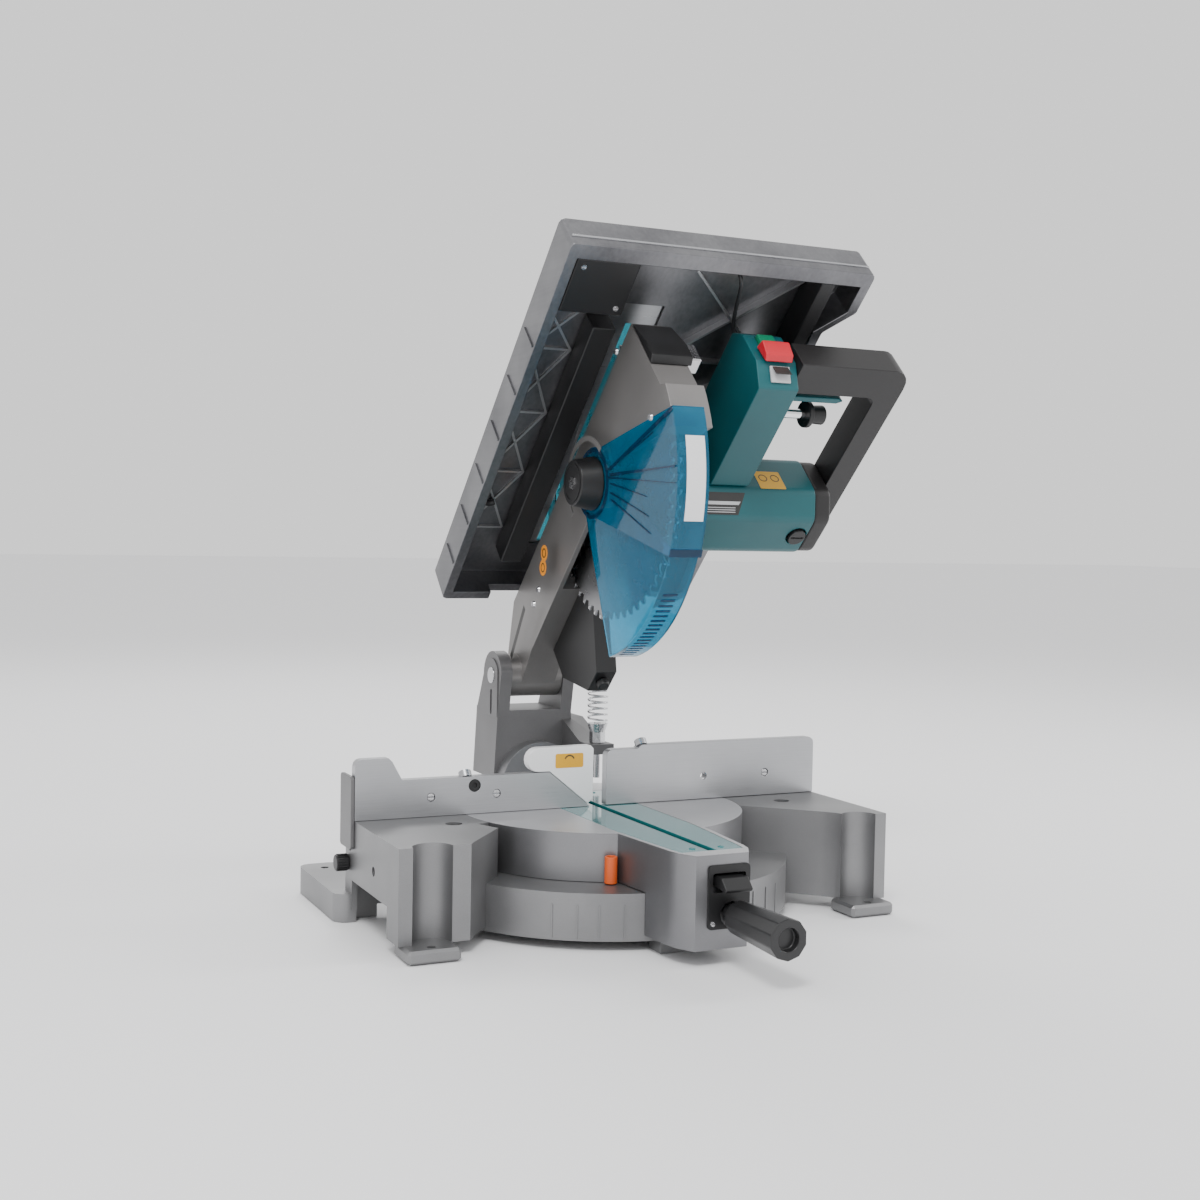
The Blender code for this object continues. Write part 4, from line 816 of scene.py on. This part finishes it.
# The slots are dark bars on the lower rim, painted shade where the openings are.
lower_r = LEAF_R - 0.0038
spots = []
for k in range(LADDER):
    a = math.radians(LADDER_TURNS[0] + k * LADDER_TURNS[1] / (LADDER - 1))
    at = RAISE @ Vector(((rim_x[0] + rim_x[1]) / 2 - 0.002, axis[0] + lower_r * math.cos(a),
                         axis[1] + lower_r * math.sin(a)))
    spots.append((tuple(at), (a - math.radians(45), 0.0, 0.0)))
copies("rim_ladder", BAR, spots, RUNG_SIZE, shaded_blue_plastic, "lower_leaf", "clear_blue")
face = level("guard_hub")[0].x
hub_ring = plate("hub_ring", "X", [arc(axis, 0.0215, 0, 350, 35), arc(axis, 0.0190, 0, 350, 35)],
                 face - 0.0008, face + 0.0003)
raised(hub_ring, "head", "black_plastic", black)
hub_bolt = cylinder("hub_bolt", (face + 0.0004, *axis), (face - 0.0012, *axis), 0.0075, sides=6)
raised(hub_bolt, "head", "steel", bright)


# Motor, its caps and labels.
# The housing is moulded in teal plastic over the motor, with a step round its end, a black name
# plate and a yellow label, both left without lettering, and a screwed cap over the brush.

MOTOR_EDGE = 0.0022
MOTOR_MARK_R = (0.0055, 0.0045)
FACET_SHARE = 0.52

teal = finish("teal moulded housing", (0.004, 0.105, 0.120), (0.002, 0.075, 0.088), (0.34, 0.50), 0.0,
              1300.0, relief=0.00004)
soft_grip = finish("brown-black over-moulding", (0.012, 0.011, 0.0115), (0.007, 0.006, 0.0065),
                   (0.36, 0.54), 0.0, 1600.0, relief=0.00006)
dressed("motor_housing", MOTOR_EDGE, teal, segments=3, angle=25.0)
dressed("motor_end_cap", 0.0040, soft_grip, segments=3)
dressed("brush_cap", 0.0008, black)
motor_low, motor_high = level("motor_housing")
motor_at = ((motor_low.y + motor_high.y) / 2, (motor_low.z + motor_high.z) / 2)
motor_r = (motor_high.z - motor_low.z) / 2

band_loop = arc(motor_at, motor_r + 0.0014, -20, 200, 20) + arc(motor_at, motor_r * 0.9, 200, -20, 20)
band = plate("motor_band_rear", "X", [band_loop],
             motor_low.x + 0.002, motor_low.x + 0.016, 0.0008)
raised(band, "head", "teal", teal)
flat = motor_r * FACET_SHARE


def on_facet(name, loop, proud, paint, slot):
    """A thin sheet on the motor's lower front facet, drawn as (x, distance up the facet)."""
    tilt = Matrix.Rotation(math.radians(45), 4, "X")
    sheet_mesh = plate(name, "Y", [loop], -proud, 0.0)
    middle = Vector((0.0, motor_at[0] - (motor_r + flat) / 2, motor_at[1] - (motor_r + flat) / 2))
    sheet_mesh.data.transform(Matrix.Translation(middle) @ tilt)
    return raised(sheet_mesh, "head", slot, paint)


grey_film = finish("grey print", (0.55, 0.55, 0.56), (0.48, 0.48, 0.50), (0.3, 0.4), 0.0, 400.0,
                   relief=0.000005)
half = (motor_r - flat) / math.sqrt(2) - 0.0045
x = motor_low.x
on_facet("name_plate", [(x + 0.030, -half), (x + 0.082, -half), (x + 0.090, half), (x + 0.038, half)],
         0.0004, ink, "black_plastic")
bar = [(x + 0.036, -half * 0.10), (x + 0.082, -half * 0.10)]
bar += [(x + 0.0845, half * 0.20), (x + 0.0385, half * 0.20)]
on_facet("name_plate_bar", bar, 0.0006, grey_film, "white")
for step in range(3):
    line_z = -half * (0.40 + 0.2 * step)
    line = [(x + 0.036, line_z), (x + 0.078, line_z)]
    line += [(x + 0.078, line_z + 0.0008), (x + 0.036, line_z + 0.0008)]
    on_facet(f"name_plate_line_{step}", line, 0.0006, grey_film, "white")
label_x, label_z = (x + 0.112, x + 0.146), (motor_at[1] - 0.024, motor_at[1] + 0.004)
warning = plate("motor_label", "Y", [oblong((label_x[0], label_z[0]), (label_x[1], label_z[1]), 0.0015)],
                motor_low.y - LABEL_T, motor_low.y + LABEL_T)
raised(warning, "head", "orange", yellow)
for number, share in enumerate((0.27, 0.73)):
    centre = (label_x[0] + share * (label_x[1] - label_x[0]), sum(label_z) / 2 + 0.003)
    mark = plate(f"motor_label_mark_{number}", "Y",
                 [disc(centre, MOTOR_MARK_R[0]), disc(centre, MOTOR_MARK_R[1])],
                 motor_low.y - 2 * LABEL_T, motor_low.y)
    raised(mark, "head", "black_plastic", ink)
tab = block("motor_tab", (motor_low.x + 0.004, motor_at[0] - 0.022, motor_low.z - 0.012),
            (motor_low.x + 0.036, motor_at[0] + 0.012, motor_low.z + 0.002), 0.003)
raised(tab, "head", "teal", teal)
foot = block("motor_tab_foot", (motor_low.x + 0.003, motor_at[0] - 0.023, motor_low.z - 0.0155),
             (motor_low.x + 0.014, motor_at[0] + 0.013, motor_low.z - 0.010), 0.0015)
raised(foot, "head", "black_plastic", black)


# Switch box, button, stop paddle and window.
# A teal box at the left of the grip holds the switches: a green start button above a red stop
# paddle, with a small window in a bright frame below them.

dressed("switch_box", 0.0022, teal, segments=3, angle=25.0)
green = finish("green moulded button", (0.008, 0.22, 0.11), (0.005, 0.16, 0.08), (0.3, 0.42), 0.0, 900.0)
red = finish("red moulded paddle", (0.62, 0.012, 0.028), (0.50, 0.008, 0.020), (0.25, 0.36), 0.0, 900.0)
dressed("start_button", 0.0010, green)
dressed("stop_paddle", 0.0016, red, segments=3)
dressed("switch_window", 0.0005, grey_film)
window_low, window_high = level("switch_window")
glass = block("switch_window_glass", (window_low.x + 0.0025, window_low.y - 0.0003, window_low.z + 0.0025),
              (window_high.x - 0.0025, window_low.y + 0.0004, window_high.z - 0.0025))
raised(glass, "head", "black_plastic", ink)


# Handle, trigger and clamp knob.
# A D handle in dark over-moulded plastic with a teal trigger set behind its grip, and a black knob
# on a chromed shaft inside its opening.

dressed("main_handle", 0.0010, soft_grip)
dressed("trigger", 0.0016, teal)
chrome = finish("chromed shaft", (0.86, 0.86, 0.87), (0.80, 0.80, 0.82), (0.05, 0.12), 1.0, 600.0,
                (0.05, 1, 1), 0.000004)
dressed("clamp_shaft", 0.0005, chrome)
dressed("clamp_knob", 0.0010, black)


# Upper table.
# An aluminium casting, machined on top and ribbed below, with an apron all round, an insert beside
# the blade, a rail, a black box and the push stick clipped under it. Its ribs are painted lighter as a
# painted highlight and its other cast faces darker as painted shade; a bright strip on the front face
# is a painted highlight of the lower front edge.

RIB_DEEP = 0.008
SHALLOW = 0.003
WEB_RIGHT = (0.046, 0.178)
WEB_LEFT = (0.0135, -0.060)
WEB_FRONT = -0.345
WEB_STATIONS = (-0.225, -0.135, -0.045, 0.045)
APRON_STATIONS = (-0.250, -0.185, -0.120, -0.055, 0.010, 0.075)
APRON_RIB = (0.0024, 0.0018, 0.032)

# One casting in lit and shaded copies: lighter ribs are a painted highlight, the darker underside and apron are
# painted shade.
cast_ribs_painted_highlight = finish("cast ribs, painted highlight", (0.50, 0.50, 0.51), (0.38, 0.38, 0.39), (0.26, 0.40), 0.9, 900.0)
cast_underside_painted_shade = finish("ribbed cast underside, painted shade", (0.24, 0.24, 0.25), (0.14, 0.14, 0.15), (0.26, 0.44), 0.9,
                    240.0, (1, 0.04, 1), 0.00006, 14.0)
# All but the machined top take the darker cast finish, which is painted shade.
saw_top = dressed("upper_table", 0.0010, cast_underside_painted_shade, milled)
for face in saw_top.data.polygons:
    face.material_index = int((RAISE.inverted().to_3x3() @ face.normal).z > TOP_FACE)
dressed("table_insert", 0.0006, milled)
dressed("throat_bar", 0.0020, black)
dressed("under_table_box", 0.0024, black)
dressed("rip_fence_rail", 0.0016, black)
dressed("push_stick", 0.0008, black)
dressed("lead_clip", 0.0010, black)
dressed("riving_knife", 0.0003, blade_steel, segments=1)
table_low, table_high = level("upper_table")
under = table_high.z - 0.006


def web(name, start, end, deep=RIB_DEEP, thick=0.0026):
    """A thin rib under the table between two plan points."""
    start, end = Vector(start), Vector(end)
    side = (end - start).orthogonal().normalized() * thick / 2
    loop = [tuple(start + side), tuple(end + side), tuple(end - side), tuple(start - side)]
    return plate(name, "Z", [loop], under - deep, under)


def joined(name, parts):
    """Several shapes as one piece, each left whole."""
    shape = bmesh.new()
    for part in parts:
        shape.from_mesh(part.data)
        bpy.data.objects.remove(part, do_unlink=True)
    return sharp(add(name, shape))


left_x = table_low.x + WEB_LEFT[0]
inner_left, inner_right, right_x = WEB_LEFT[1], *WEB_RIGHT
ribs = []
for k, y in enumerate(WEB_STATIONS):
    ribs.append(web(f"cross {k}", (inner_right, y), (right_x, y)))
    ribs.append(web(f"left cross {k}", (left_x, y), (inner_left, y), SHALLOW))
for k, (y0, y1) in enumerate(zip((WEB_FRONT, *WEB_STATIONS), WEB_STATIONS)):
    ribs.append(web(f"slant a {k}", (inner_right, y0), (right_x, y1)))
    ribs.append(web(f"slant b {k}", (inner_right, y1), (right_x, y0)))
    ribs.append(web(f"slant c {k}", (left_x, y0 + 0.06 * (k == 0)), (inner_left, y1), SHALLOW))
    ribs.append(web(f"slant d {k}", (left_x, y1), (inner_left, y0 + 0.06 * (k == 0)), SHALLOW))
# The table's ribs take the lighter cast finish, which is a painted highlight.
raised(joined("table_webs", ribs), "saw_table", "machined_silver", cast_ribs_painted_highlight)

spots = []
turn = RAISE.to_euler()
for y in APRON_STATIONS:
    spots.append((tuple(RAISE @ Vector((table_low.x - 0.0006, y, table_low.z + 0.018))), tuple(turn)))
# The apron ribs take the darker cast finish, which is painted shade.
copies("apron_ribs", BAR, spots, APRON_RIB, cast_underside_painted_shade, "saw_table", "machined_silver")
# A bright milled strip on the front face, a painted highlight of the lower front edge.
lip = block("front_lip", (table_low.x + 0.004, table_low.y - 0.0012, table_low.z + 0.012),
            (table_high.x - 0.004, table_low.y + 0.0012, table_low.z + 0.0145), 0.0008)
raised(lip, "saw_table", "machined_silver", milled)
box_low, box_high = level("under_table_box")
face_down = tuple((RAISE @ Matrix.Rotation(math.pi, 4, "X")).to_euler())
spots = []
for x, y in ((box_low.x + 0.010, box_low.y + 0.010), (box_high.x - 0.010, box_high.y - 0.010)):
    spots.append((tuple(RAISE @ Vector((x, y, box_low.z - 0.0004))), face_down))
copies("box_screws", screw_head, spots, (0.0070, 0.0070, 0.0018), bright, "saw_table", "steel")


# Blade cover.
# A tapering box of clear blue plastic that stands over the blade on the upper table.

cover_blue = clear_plastic("clear blue cover", (0.06, 0.36, 0.44, 1.0))
settle(sharp(merged("blade_cover"), 30.0), "cover", "clear_blue", cover_blue, stands_for=("blade_cover",))


# Switch lead.
# A thin black lead runs from the top of the switch box to its clip under the table's front.

lead_black = finish("black lead sheath", (0.018, 0.018, 0.019), (0.010, 0.010, 0.011), (0.30, 0.45), 0.0,
                    1500.0)
dressed("switch_lead", 0.0001, lead_black, segments=1, angle=80.0)
